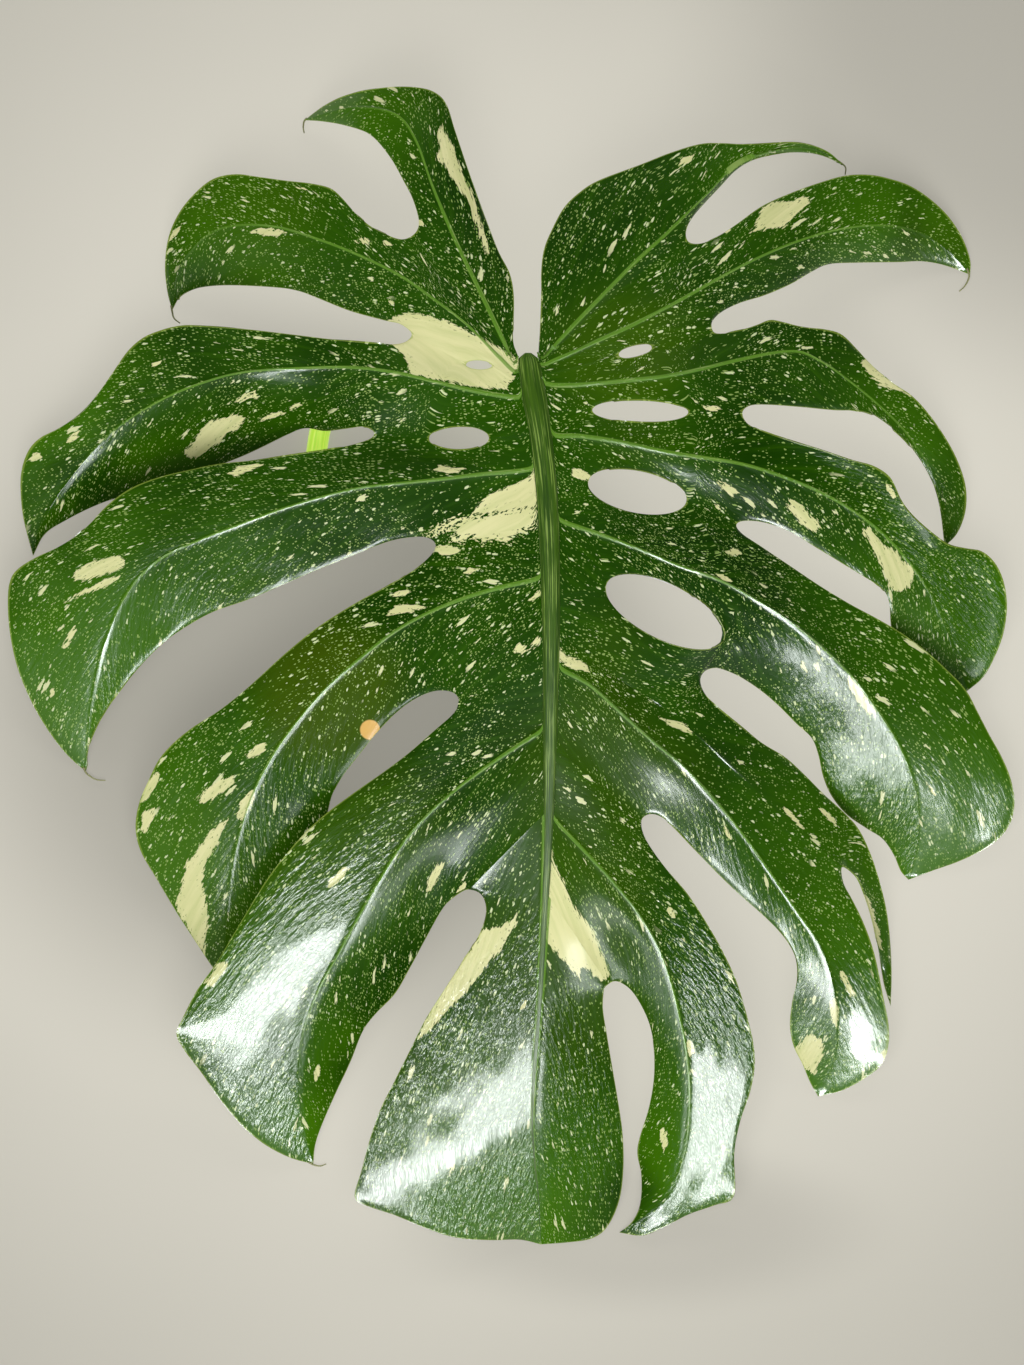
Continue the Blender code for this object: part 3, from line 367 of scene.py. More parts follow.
MOTTLED_PATCHES = [
    [(537, 505), (536, 528), (520, 534), (508, 545), (496, 541), (484, 545), (470, 538), (460, 545),
     (450, 541), (455, 530), (440, 534), (424, 538), (434, 528), (450, 520), (470, 517), (500, 511)],
]
WHOLE_PATCH_REACH = 9.0
PATCH_SEARCH = 90
FAR_OUTSIDE = -20.0

COLOURS = {
    "deep green": (22, 56, 2),
    "fresh green": (36, 76, 3),
    "olive": (52, 82, 2),
    "lobe green": (68, 118, 3),
    "streak": (60, 106, 5),
    "browned green": (66, 88, 4),
    "pale olive": (70, 104, 4),
    "speck dust": (162, 190, 104),
    "fine speck": (208, 220, 168),
    "fleck": (218, 222, 170),
    "cream": (224, 222, 166),
    "cream streak": (204, 208, 146),
    "tan spot": (222, 178, 100),
    "vein": (98, 142, 44),
    "pale vein": (176, 194, 120),
    "leaf edge": (150, 170, 70),
    "midrib": (64, 98, 15),
    "midrib strand": (142, 170, 80),
    "midrib furrow": (40, 72, 8),
    "thread": (150, 150, 104),
    "thread strand": (182, 180, 140),
    "thread furrow": (112, 116, 66),
    "stalk": (190, 226, 84),
    "stalk strand": (216, 236, 140),
    "stalk furrow": (164, 206, 60),
    "floor": (112, 110, 104),
    # The floor's glow: a painted pool of light, its dimmer painted falloff further off, and painted shadows
    # and shade.
    "lit floor": (230, 226, 213),
    "far floor": (180, 177, 166),
    "shaded floor": (142, 139, 130),
    "dim corner": (148, 145, 136),
    "low shade": (142, 139, 132),
    "room": (236, 240, 236),
}
BROWNED_SPOT = ((-0.083, -0.012), 0.045)
PALE_SPOT = ((0.048, 0.14), 0.04)
TAN_SPOT = ((-0.0636, -0.0282), 0.0048, 0.85)
FLECK_SLANT = np.radians(-22)
# Painted light: the stalk glows in its own tone, as though lit where the blade shades it.
STALK_PAINTED_GLOW = 0.75

FLOOR_SIZE = 12
FLOOR_GLOW = 0.71
# Painted shadow of the leaf on the floor beside its left side.
SHADED_SPOT = ((-0.1, -0.01), 0.2)
# Painted shade in the floor's far top right corner.
DIM_CORNER = ((0.25, 0.3), 0.2)
# Painted shadow on the floor below the leaf's tip.
LOW_SHADE = ((0.02, -0.254), 0.045)

LIT_POINT = np.array((0, 0, 0.04))
LIGHT_DISTANCE = 2.5
ROOM_GLOW = {"From Min": -0.95, "From Max": -0.25, "To Min": 0.6, "To Max": 0.03}
CAMERA_HEIGHT = 7.0
FOCUS_HEIGHT = 0.045
SENSOR_WIDTH = 36


def smooth(points, steps=8):
    """A close polyline on the Catmull-Rom curve through the points."""
    knots = np.asarray(points, float)
    knots = np.vstack([2 * knots[0] - knots[1], knots, 2 * knots[-1] - knots[-2]])
    t = np.linspace(0, 1, steps, endpoint=False)[:, None]
    spans = [
        0.5 * (2 * b + (c - a) * t + (2 * a - 5 * b + 4 * c - d) * t**2 + (3 * b - a - 3 * c + d) * t**3)
        for a, b, c, d in zip(knots, knots[1:], knots[2:], knots[3:])
    ]
    return np.vstack([*spans, knots[-2:-1]])


def lengths_along(line):
    return np.insert(np.cumsum(np.linalg.norm(np.diff(line, axis=0), axis=1)), 0, 0)


def at(line, shares):
    """The points at these shares of a polyline's length."""
    along = lengths_along(line)
    return np.column_stack([np.interp(shares * along[-1], along, axis) for axis in line.T])


def even_shares(line, rows):
    """Where rows steps end along a polyline, as shares of its length, with shorter steps in tight bends."""
    step = np.diff(line, axis=0)
    heading = np.unwrap(np.arctan2(step[:, 1], step[:, 0]))
    turn = np.abs(np.diff(heading, prepend=heading[0]))
    effort = np.insert(np.cumsum(np.linalg.norm(step, axis=1) + BEND_REACH * turn), 0, 0)
    along = lengths_along(line)
    return np.interp(np.linspace(0, effort[-1], rows + 1), effort, along / along[-1])


def nearest_share(line, point):
    along = lengths_along(line)
    return along[np.argmin(np.linalg.norm(line - point, axis=1))] / along[-1]


def nearest_corner(line, point):
    return np.argmin(np.linalg.norm(line - point, axis=1))


def curve_value(pairs, where):
    """A smooth curve through (place, value) pairs, read at where."""
    line = smooth(pairs)
    return np.interp(where, line[:, 0], line[:, 1])


def soft_step(value, low, high):
    """Nought at low, one at high and smooth between; high may be the lower number."""
    t = np.clip((value - low) / (high - low), 0, 1)
    return t * t * (3 - 2 * t)


def midrib_point(y, side):
    """A point on the midrib's left edge, centre line or right edge, for a side of -1, 0 or 1."""
    line = smooth(MIDRIB)
    half_width = np.interp(y, *np.transpose(MIDRIB_HALF_WIDTHS))
    return np.array((np.interp(y, line[:, 1], line[:, 0]) + side * half_width, y))


def midrib_height(y):
    return curve_value(MIDRIB_HEIGHTS, y)


def seam(lobe, next_root, side):
    """The line where a lobe joins the next one: its two edges, alike except along a hole, and row shares."""
    start = midrib_point((lobe["root"] + next_root) / 2, side)
    end = np.array(lobe["slot_end"], float)
    if lobe["hole"] is None:
        shares = np.linspace(0, 1, SEAM_ROWS + 1)
        line = start + (end - start) * shares[:, None]
        return line, line.copy(), shares
    x, y, half_length, half_width, tilt = lobe["hole"]
    outward = side * np.array((np.cos(np.radians(tilt)), -np.sin(np.radians(tilt))))
    up = np.array((-np.sin(np.radians(tilt)), -np.cos(np.radians(tilt))))

    def rim(angle):
        angle = angle[:, None]
        return (x, y) + outward * half_length * np.cos(angle) + up * half_width * np.sin(angle)

    upper = rim(np.linspace(np.pi, 0, ROWS_OF_HOLE + 1))
    lower = rim(np.linspace(np.pi, 2 * np.pi, ROWS_OF_HOLE + 1))
    before = start + (upper[0] - start) * np.linspace(0, 1, ROWS_TO_HOLE + 1)[:-1, None]
    past = upper[-1] + (end - upper[-1]) * np.linspace(0, 1, ROWS_TO_SLOT + 1)[1:, None]
    middle = lengths_along(np.vstack([before, (upper + lower) / 2, past]))
    return np.vstack([before, upper, past]), np.vstack([before, lower, past]), middle / middle[-1]


def margin(points, start, tip, turn_from, rows=MARGIN_ROWS):
    """A margin from a slot's end to a tip, which leaves the slot's end in line with the margin across it."""
    line = smooth([turn_from, start, *points, tip])
    line = line[nearest_corner(line, start):]
    shares = even_shares(line, rows)
    return at(line, shares), shares


def vein_rail(line, waist, seam_shares, margin_shares):
    """Points along a vein, in step with the borders on its two sides, and their shares of its length."""
    shares = np.concatenate([waist * seam_shares, waist + (1 - waist) * margin_shares[1:]])
    return at(line, shares), shares


def fold_down(vein, vein_height, border, fold):
    """A border's height, from its vein's and the slope of the fold, which starts a little off the midrib."""
    off_midrib = lengths_along(border) * SHEET_UNIT
    start = 1 - np.exp(-(off_midrib / FOLD_START) ** 2)
    apart = np.linalg.norm(vein - border, axis=1) * SHEET_UNIT / MM
    return vein_height - fold * apart * start, start


def share_heights(upper, lower, root_height, start, upper_border, lower_border, lift):
    """One height along a seam for both borders, which part again past the end of the slot."""
    joint = (upper + lower) / 2
    joint += (root_height - joint[0]) * (1 - start)
    joint += lift * soft_step(np.arange(ROWS + 1), 0, SEAM_ROWS)
    results = []
    for own, border in ((upper, upper_border), (lower, lower_border)):
        past_end = lengths_along(border[SEAM_ROWS:]) * SHEET_UNIT
        parted = own[SEAM_ROWS:] + (joint[SEAM_ROWS] - own[SEAM_ROWS]) * np.exp(-(past_end / SLOT_LIP) ** 2)
        results.append(np.concatenate([joint[:SEAM_ROWS], parted]))
    return results


def lobe_veins(lobes, tip, side, seams, margins):
    """Each lobe's vein rail with its heights, and last the midrib's edge beyond the last seam."""
    rails = []
    for i, lobe in enumerate(lobes):
        root = midrib_point(lobe["root"] - VEIN_HOOK, side)
        line = smooth([root, root + (side * 0.6 * VEIN_HOOK, 0.95 * VEIN_HOOK), *lobe["vein"], lobe["tip"]])
        ends = [near["slot_end"] for near in lobes[max(i - 1, 0):i + 1]]
        waist = np.mean([nearest_share(line, lobe.get("waist", end)) for end in ends])
        seam_shares = np.mean([shares for _, _, shares in seams[max(i - 1, 0):i + 1]], axis=0)
        margin_shares = np.mean([shares for _, shares in margins[i]], axis=0)
        rail, shares = vein_rail(line, waist, seam_shares, margin_shares)
        heights = [midrib_height(lobe["root"]), *lobe["heights"]]
        pairs = np.column_stack([np.linspace(0, 1, len(heights)), heights])
        rails.append((rail, curve_value(pairs, shares)))
    edge = np.array([midrib_point(y, side) for y in np.linspace(tip["root"], MIDRIB[-1][1], 120)])
    waist = nearest_share(edge, lobes[-1]["slot_end"])
    rail, _ = vein_rail(edge, waist, seams[-1][2], margins[-1][0][1])
    rails.append((rail, midrib_height(rail[:, 1])))
    return rails


def notch_rail(lobe, waist_point, side):
    """The first lobe's margin in the notch at the leaf's base, from the midrib's end to the lobe's tip."""
    line = smooth([midrib_point(MIDRIB[0][1], side), *lobe["before"], lobe["tip"]])
    waist = nearest_share(line, waist_point)
    cut = np.argmin(np.abs(lengths_along(line) / lengths_along(line)[-1] - waist))
    near, far = line[:cut + 1], line[cut:]
    return np.vstack([at(near, even_shares(near, SEAM_ROWS)), at(far, even_shares(far, MARGIN_ROWS))[1:]])


def free_rows(lobe):
    """Which rows of a border are the leaf's edge, rather than joined to the next strip."""
    row = np.arange(ROWS + 1)
    free = row >= SEAM_ROWS
    if lobe["hole"] is not None:
        free |= (row >= ROWS_TO_HOLE) & (row <= ROWS_TO_HOLE + ROWS_OF_HOLE)
    return free


def manner(lobe, after):
    """A lobe's skin on one side of its vein: how slack and dull it is, and how far its margin curls down."""
    traits = {trait: lobe.get(trait, both)[after] for trait, both in USUAL_MANNER.items()}
    return dict(traits, vein_dull=sum(lobe.get("dull", (0, 0))) / 2)


def strips_of(lobes, tip, side):
    """The sheets between each vein and each border: both rails with their heights, and the free rows."""
    roots = [lobe["root"] for lobe in lobes]
    next_roots = [*roots[1:], 2 * tip["root"] - roots[-1]]
    seams = [seam(lobe, following, side) for lobe, following in zip(lobes, next_roots)]
    margins = []
    for i, lobe in enumerate(lobes):
        end_of_lobe = FINGER_TIP if side == 1 and i == FINGER_LOBE else lobe["tip"]
        across = [*lobes, tip][i + 1]["before"][0]
        sides = [margin(lobe["after"], lobe["slot_end"], lobe["tip"], across)]
        if i:
            across = lobes[i - 1]["after"][0]
            sides.insert(0, margin(lobe["before"], lobes[i - 1]["slot_end"], end_of_lobe, across))
        margins.append(sides)
    margins.append([margin(tip["before"], lobes[-1]["slot_end"], MIDRIB[-1], lobes[-1]["after"][0])])
    veins = lobe_veins(lobes, tip, side, seams, margins)
    folds = [lobe["folds"] for lobe in lobes] + [(tip["fold"], 0)]

    rail, height = veins[0]
    edge = notch_rail(lobes[0], rail[SEAM_ROWS], side)
    edge_height, start = fold_down(rail, height, edge, folds[0][0])
    edge_height += (midrib_height(MIDRIB[0][1]) - edge_height[0]) * (1 - start)
    strips = [dict(vein=veins[0], border=(edge, edge_height), free=np.full(ROWS + 1, True), rib=True,
                   **manner(lobes[0], 0))]
    for i, (upper_seam, lower_seam, _) in enumerate(seams):
        upper = np.vstack([upper_seam, margins[i][-1][0][1:]])
        lower = np.vstack([lower_seam, margins[i + 1][0][0][1:]])
        upper_height, start = fold_down(*veins[i], upper, folds[i][1])
        lower_height, _ = fold_down(*veins[i + 1], lower, folds[i + 1][0])
        root_height = midrib_height(upper[0, 1])
        lift = lobes[i].get("lift", 0)
        upper_height, lower_height = share_heights(
            upper_height, lower_height, root_height, start, upper, lower, lift)
        free = free_rows(lobes[i])
        after, before = manner(lobes[i], 1), manner([*lobes, tip][i + 1], 0)
        before["joint_dull"] = after["joint_dull"] = (after["dull"] + before["dull"]) / 2
        strips.append(dict(vein=veins[i], border=(upper, upper_height), free=free, rib=True, **after))
        border = (lower, lower_height)
        if side == 1 and i + 1 == FINGER_LOBE:
            strips.extend(finger_strips(*veins[i + 1], *border, free))
        else:
            strips.append(dict(vein=veins[i + 1], border=border, free=free, rib=True, **before))
    return strips


def finger_strips(vein, vein_height, border, border_height, free):
    """The half lobe that a short slot parts into a narrow finger and the body beside it."""
    shared = smooth([midrib_point(FINGER_ROOT, 1), *FINGER_LINE, FINGER_SLOT_END])
    shares = np.interp(np.arange(FINGER_ROWS + 1), (0, SEAM_ROWS, FINGER_ROWS), (0, FINGER_SEAM_SHARE, 1))
    shared = at(shared, shares)
    rows = ROWS - FINGER_ROWS
    body, _ = margin(BODY_EDGE, FINGER_SLOT_END, RIGHT_LOBES[FINGER_LOBE]["tip"], FINGER_INNER_EDGE[0], rows)
    finger, _ = margin(FINGER_INNER_EDGE, FINGER_SLOT_END, FINGER_TIP, BODY_EDGE[0], rows)
    middle_height = 0.55 * vein_height + 0.45 * border_height
    settle = np.exp(-np.arange(ROWS + 1) * SOLIDS_ROWS / ROWS)
    middle_height += (midrib_height(FINGER_ROOT) - middle_height[0]) * settle
    body_height = middle_height.copy()
    finger_height = middle_height.copy()
    past = np.linspace(0, 1, rows + 1)
    body_height[FINGER_ROWS:] += past * (vein_height - middle_height)[FINGER_ROWS:]
    finger_height[FINGER_ROWS:] += past * (border_height - middle_height)[FINGER_ROWS:]
    slotted = np.arange(ROWS + 1) >= FINGER_ROWS
    return [dict(vein=(np.vstack([shared, finger[1:]]), finger_height), border=(border, border_height),
                 free=free, rib=False, cut=slotted, slack=0.1, vein_dull=0, **FINGER_MANNER),
            dict(vein=(vein, vein_height), border=(np.vstack([shared, body[1:]]), body_height),
                 free=slotted, rib=True, slack=0.2, vein_dull=0.1, **FINGER_MANNER)]


def to_world(points, heights):
    """Sheet points and heights in millimetres as points in metres, none lower than the surface allows."""
    plan = (points - SHEET_CENTRE) * SHEET_UNIT
    height = np.maximum(np.asarray(heights) * MM, LOWEST_TOP_FACE)
    return np.column_stack([plan[:, 0], -plan[:, 1], height])


def fold_sheet(strip, inner, outer, share, joined):
    """The surface from a strip's vein to its border, rounded over its fold and smoothed along its rows."""
    row = np.arange(ROWS + 1)
    points = inner + (outer - inner) * share[..., None]
    drop = share ** strip.get("rounding", FOLD_ROUNDING)
    drop = drop + joined * (share * share * (3 - 2 * share) - drop)
    points[..., 2] = inner[:, 2] + (outer - inner)[:, 2] * drop
    spread = np.exp(-(((row[:, None] - row) / SMOOTHING_ROWS) ** 2))
    spread /= spread.sum(axis=1)[:, None]
    settled = np.einsum("rs,csx->crx", spread, points)
    give = np.sqrt(4 * share * (1 - share)) * soft_step(row, 0, END_ROWS) * soft_step(ROWS - row, 0, END_ROWS)
    points += (settled - points) * give[..., None]
    return points


def swell(points, strip, calm, loose, along, off_vein, number):
    """Raises low swellings between the veins, with smaller ones among them where the skin is slack."""
    for c, r in zip(*np.nonzero(calm > 0)):
        place = np.array((along[r], off_vein[c, r]))
        where = Vector((*(place / SWELLING_SIZE), 7.3 * number))
        points[c, r, 2] += SWELLING * calm[c, r] * noise.noise(where)
        if strip["slack"] > 0.3:
            where = Vector((*(place / SLACK_SWELLING_SIZE), 3.1 * number))
            points[c, r, 2] += SWELLING * calm[c, r] * strip["slack"] * loose[r] * noise.noise(where)


def raise_rib(points, off_vein, row, taper):
    """Raises the side vein's rib, with a faint groove beside it."""
    half = (0.45 + 0.6 * taper) * MM
    rise = (0.12 + 0.4 * taper) * MM * soft_step(row, 0, 6)
    crest = np.exp(-(off_vein / half) ** 2)
    groove = np.exp(-(((off_vein - 2.6 * half) / half) ** 2))
    points[..., 2] += rise * (crest - 0.2 * groove)


def skin_fields(strip, share, joined, off_vein, off_edge, taper):
    """What the skin's material reads, all but along counted in millimetres."""
    dull = strip["dull"] + (strip["joint_dull"] - strip["dull"]) * joined * soft_step(share, 0.3, 1)
    dull = dull + (strip["vein_dull"] - dull) * soft_step(share, 0.15, 0)
    rim = np.where(strip["free"], off_edge, FAR_FROM_EDGE)
    if "cut" in strip:
        rim = np.minimum(rim, np.where(strip["cut"], off_vein, FAR_FROM_EDGE))
    return dict(
        off_vein=off_vein if strip["rib"] else np.full_like(off_vein, FAR_FROM_VEIN),
        along=np.broadcast_to(1 - taper, off_vein.shape),
        rim=np.minimum(rim, FAR_FROM_EDGE),
        slack=strip["slack"] * soft_step(1 - taper, 0.3, 0.7) * np.ones_like(off_vein) * MM,
        dull=dull * MM,
    )


def shape_strip(strip, number):
    """A strip's points, in columns from vein to border by rows outwards, with its skin's fields and run."""
    inner = to_world(*strip["vein"])
    outer = to_world(*strip["border"])
    width = np.linalg.norm(outer - inner, axis=1)
    columns = int(np.clip(width.max() / COLUMN_WIDTH, *COLUMNS_ALLOWED))
    even = np.linspace(0, 1, columns + 1)[:, None]
    share = even**COLUMN_CROWDING / (even**COLUMN_CROWDING + (1 - even) ** COLUMN_CROWDING)
    row = np.arange(ROWS + 1)
    taper = 1 - row / ROWS
    off_vein = share * width
    off_edge = (1 - share) * width
    along = lengths_along(inner)
    by_notch = strip["free"].all()
    joined = 0 * row if by_notch or "rounding" in strip else 1 - soft_step(row, *JOINT_FADES)
    points = fold_sheet(strip, inner, outer, share, joined)

    edge = strip["free"].astype(float)
    loose = soft_step(row, *(NOTCH_COMES_LOOSE if by_notch else COMES_LOOSE))
    loose = loose * (1 - (row / ROWS) ** 8)
    long_turns, short_turns = (lengths_along(outer) / length for length in WAVE_LENGTHS)
    phase = 1.9 * number
    wave = np.sin(long_turns + phase) + 0.6 * np.sin(short_turns + 2.3 * phase)
    points[..., 2] += MARGIN_WAVE * loose * wave * share**2.2 * edge * (1 - strip["slack"])
    points[..., 2] -= strip["droop"] * MM * loose * share**3 * edge

    calm = 4 * share * (1 - share) * soft_step(row, 3, 15) * soft_step(taper, 0, 0.15)
    swell(points, strip, calm, loose, along, off_vein, number)
    if strip["rib"]:
        raise_rib(points, off_vein, row, taper)
    points[..., 2] -= EDGE_ROLL * np.exp(-(off_edge / EDGE_ROLL_WIDTH) ** 1.5) * edge * soft_step(row, 0, 8)
    points[..., 2] = np.maximum(points[..., 2], LOWEST_TOP_FACE)
    run = np.broadcast_to(along, off_vein.shape)
    return points, skin_fields(strip, share, joined, off_vein, off_edge, taper), run


def inside_by(points, outline):
    """How far plan points lie inside a closed outline, in sheet units, and below zero outside it."""
    corners = np.array(outline, float)
    following = np.roll(corners, -1, axis=0)
    apart = np.full(len(points), np.inf)
    crossings = np.zeros(len(points), int)
    for a, b in zip(corners, following):
        edge = b - a
        t = np.clip((points - a) @ edge / (edge @ edge), 0, 1)
        apart = np.minimum(apart, np.linalg.norm(points - a - t[:, None] * edge, axis=1))
        if a[1] != b[1]:
            spans = (a[1] > points[:, 1]) != (b[1] > points[:, 1])
            crossings += spans & (points[:, 0] < a[0] + (points[:, 1] - a[1]) / edge[1] * edge[0])
    return np.where(crossings % 2 == 1, apart, -apart)


def only(piece):
    """Makes the piece the one that operators act on."""
    if bpy.context.object and bpy.context.object.mode != "OBJECT":
        bpy.ops.object.mode_set(mode="OBJECT")
    bpy.ops.object.select_all(action="DESELECT")
    piece.select_set(True)
    bpy.context.view_layer.objects.active = piece


def grid_piece(name, points, fields, run, across, lane):
    """A grid primitive laid on points, columns by rows, with point attributes and a map along the veins."""
    columns, rows = points.shape[0] - 1, points.shape[1] - 1
    bpy.ops.object.select_all(action="DESELECT")
    bpy.ops.mesh.primitive_grid_add(x_subdivisions=columns, y_subdivisions=rows, size=2, location=(0, 0, 0))
    piece = bpy.context.object
    piece.name = name
    mesh = piece.data
    flat = np.empty(len(mesh.vertices) * 3)
    mesh.vertices.foreach_get("co", flat)
    flat = flat.reshape(-1, 3)
    column = np.rint((flat[:, 0] + 1) / 2 * columns).astype(int)
    row = np.rint((flat[:, 1] + 1) / 2 * rows).astype(int)
    mesh.vertices.foreach_set("co", points[column, row].ravel())
    mesh.update()
    for field, values in fields.items():
        layer = mesh.attributes.new(field, "FLOAT", "POINT")
        layer.data.foreach_set("value", values[column, row] / (1 if field == "along" else MM))
    while mesh.uv_layers:
        mesh.uv_layers.remove(mesh.uv_layers[0])
    flow = mesh.uv_layers.new(name="flow")
    corner = np.empty(len(mesh.loops), np.int32)
    mesh.loops.foreach_get("vertex_index", corner)
    places = np.column_stack([run[column, row], across[column, row]]) / (10 * MM) + (0, 10 * lane)
    flow.data.foreach_set("uv", places[corner].ravel())
    facing = np.empty(len(mesh.polygons) * 3)
    mesh.polygons.foreach_get("normal", facing)
    if facing.reshape(-1, 3)[:, 2].sum() < 0:
        mesh.flip_normals()
    return piece


def join(pieces, name):
    """Makes one piece of several."""
    only(pieces[0])
    for piece in pieces[1:]:
        piece.select_set(True)
    bpy.ops.object.join()
    joined = bpy.context.object
    joined.name = name
    joined.data.name = name
    return joined


def merge(piece):
    """Makes one of each pair of points that lie on each other."""
    only(piece)
    bpy.ops.object.mode_set(mode="EDIT")
    bpy.ops.mesh.select_all(action="SELECT")
    bpy.ops.mesh.remove_doubles(threshold=MERGE_DISTANCE)
    bpy.ops.mesh.dissolve_degenerate(threshold=MERGE_DISTANCE / 2)
    bpy.ops.object.mode_set(mode="OBJECT")


def half_blade(lobes, tip, side, name):
    """One half of the blade, as one sheet with its skin's fields."""
    sheets = []
    for number, strip in enumerate(strips_of(lobes, tip, side), start=20 * (side > 0)):
        points, fields, run = shape_strip(strip, number)
        across = np.linalg.norm(points - points[:1], axis=-1)
        sheets.append(grid_piece("strip", points, fields, run, across, number))
    return join(sheets, name)


def patch_depth(plan, outlines):
    """How far plan points lie inside the nearest outline, a small patch counted as deep as a large one."""
    depth = np.full(len(plan), FAR_OUTSIDE)
    for outline in outlines:
        x, y = np.transpose(outline)
        reach = np.sqrt(abs(x @ np.roll(y, 1) - y @ np.roll(x, 1)) / 2)
        near = (np.abs(plan - (np.mean(x), np.mean(y))) < PATCH_SEARCH).all(axis=1)
        inside = inside_by(plan[near], outline) * max(1.0, 2.4 * WHOLE_PATCH_REACH / reach)
        depth[near] = np.maximum(depth[near], inside)
    return np.maximum(depth, FAR_OUTSIDE) * SHEET_UNIT / MM


def add_patches(mesh):
    """Writes on the mesh how deep its points lie inside the cream and the mottled patches."""
    points = np.empty(len(mesh.vertices) * 3)
    mesh.vertices.foreach_get("co", points)
    points = points.reshape(-1, 3)
    plan = np.column_stack([points[:, 0], -points[:, 1]]) / SHEET_UNIT + SHEET_CENTRE
    for name, outlines in (("patch", CREAM_PATCHES), ("mottle", MOTTLED_PATCHES)):
        layer = mesh.attributes.new(name, "FLOAT", "POINT")
        layer.data.foreach_set("value", patch_depth(plan, outlines))


def thicken(piece):
    """Gives the sheet its thickness downwards, more along its ribs, with its lowest tips flat beneath."""
    mesh = piece.data
    group = piece.vertex_groups.new(name="thickness")
    off_vein = np.empty(len(mesh.vertices))
    along = np.empty(len(mesh.vertices))
    mesh.attributes["off_vein"].data.foreach_get("value", off_vein)
    mesh.attributes["along"].data.foreach_get("value", along)
    half = 0.7 + 1.1 * (1 - along)
    weight = np.exp(-(off_vein / half) ** 2) * (1 - along) * (1 - np.exp(-along * 11))
    for index, value in enumerate(weight):
        if value > 0.002:
            group.add([index], float(value), "REPLACE")
    only(piece)
    solidify = piece.modifiers.new("Thickness", "SOLIDIFY")
    solidify.thickness = RIB_THICKNESS
    solidify.offset = -1
    solidify.vertex_group = group.name
    solidify.thickness_vertex_group = SKIN_THICKNESS / RIB_THICKNESS
    bpy.ops.object.modifier_apply(modifier=solidify.name)
    piece.vertex_groups.clear()
    for vertex in mesh.vertices:
        if vertex.co.z < FOOT_LIFT:
            vertex.co.z = 0


def rings_about(centre, radius, angle, side, up):
    """Rings of points about the centres, in the planes that side and up span."""
    angle = angle[:, None]
    return centre[:, None] + radius * (np.cos(angle) * side[:, None] + np.sin(angle) * up[:, None])


def rod(name, centres, rings):
    """A closed tube through rings of points, made from a grid primitive whose sides meet."""
    points = np.moveaxis(rings, 0, 1)
    run = np.broadcast_to(lengths_along(centres), points.shape[:2])
    girth = np.broadcast_to(np.linspace(0, 2 * np.pi, len(points))[:, None] * STALK_RADIUS, points.shape[:2])
    piece = grid_piece(name, points, {}, run, girth, 0)
    merge(piece)
    bpy.ops.object.mode_set(mode="EDIT")
    bpy.ops.mesh.select_mode(type="EDGE")
    bpy.ops.mesh.select_all(action="DESELECT")
    bpy.ops.mesh.select_non_manifold()
    bpy.ops.mesh.edge_face_add()
    bpy.ops.mesh.select_all(action="SELECT")
    bpy.ops.mesh.normals_make_consistent(inside=False)
    bpy.ops.object.mode_set(mode="OBJECT")
    return piece


def make_midrib():
    """The midrib: a low rounded ridge on the face and a deeper keel beneath."""
    ys = np.linspace(MIDRIB[0][1] - 3, MIDRIB[-1][1] - 4, MIDRIB_RINGS)
    half_width = (np.interp(ys, *np.transpose(MIDRIB_HALF_WIDTHS)) + 0.5) * SHEET_UNIT
    half_width *= np.sqrt(np.clip(1 - (1 - (ys - ys[0] + 0.4) / 9).clip(0) ** 2, 0, 1))
    centre = to_world(np.array([midrib_point(y, 0) for y in ys]), midrib_height(ys))
    taper = 1 - 0.9 * (ys - ys[0]) / (ys[-1] - ys[0])
    angle = np.linspace(0, 2 * np.pi, MIDRIB_SIDES + 1)
    rings = np.repeat(centre[:, None, :], len(angle), axis=1)
    rings[..., 0] += half_width[:, None] * np.cos(angle)
    crown = half_width * MIDRIB_CROWN
    keel = np.minimum(MIDRIB_KEEL * taper, centre[:, 2] - MIDRIB_SINK)
    flutes = MIDRIB_FLUTES * np.sin(angle * 9) * (np.sin(angle) > 0)
    up = np.where(np.sin(angle) > 0, crown[:, None], keel[:, None]) * np.sin(angle) + flutes
    rings[..., 2] += up - MIDRIB_SINK
    return rod("midrib", centre, rings)


def make_stalk():
    """The leaf stalk: thick at its knee under the blade, then bent down and along to its cut end."""
    route = smooth(STALK_ROUTE, STALK_STEPS)
    knots = np.arange(len(route)) / STALK_STEPS
    thick = np.interp(knots, np.arange(len(STALK_THICKENING)), STALK_THICKENING) * STALK_RADIUS
    wrinkles = STALK_WRINKLES * np.sin(knots * 34) * soft_step(4.2 - knots, 0, 1.2)
    centre = np.column_stack([(route[:, 0] - SHEET_CENTRE[0]) * SHEET_UNIT,
                              (SHEET_CENTRE[1] - route[:, 1]) * SHEET_UNIT, route[:, 2] * MM])
    ahead = np.gradient(centre, axis=0)
    ahead /= np.linalg.norm(ahead, axis=1)[:, None]
    side = np.cross(ahead, (0, 0, 1))
    side[:3] = side[3]
    side /= np.linalg.norm(side, axis=1)[:, None]
    up = np.cross(side, ahead)
    angle = np.linspace(0, 2 * np.pi, STALK_SIDES + 1)
    channel = 1 - 0.10 * np.exp(-((angle - np.pi / 2) / 0.35) ** 2) * soft_step(knots, 4, 7)[:, None]
    radius = ((thick + wrinkles)[:, None] * channel)[..., None]
    rings = rings_about(centre, radius, angle, side, up)
    rings[..., 2] = np.maximum(rings[..., 2], 0)
    return rod("leaf_stalk_skin", centre, rings)


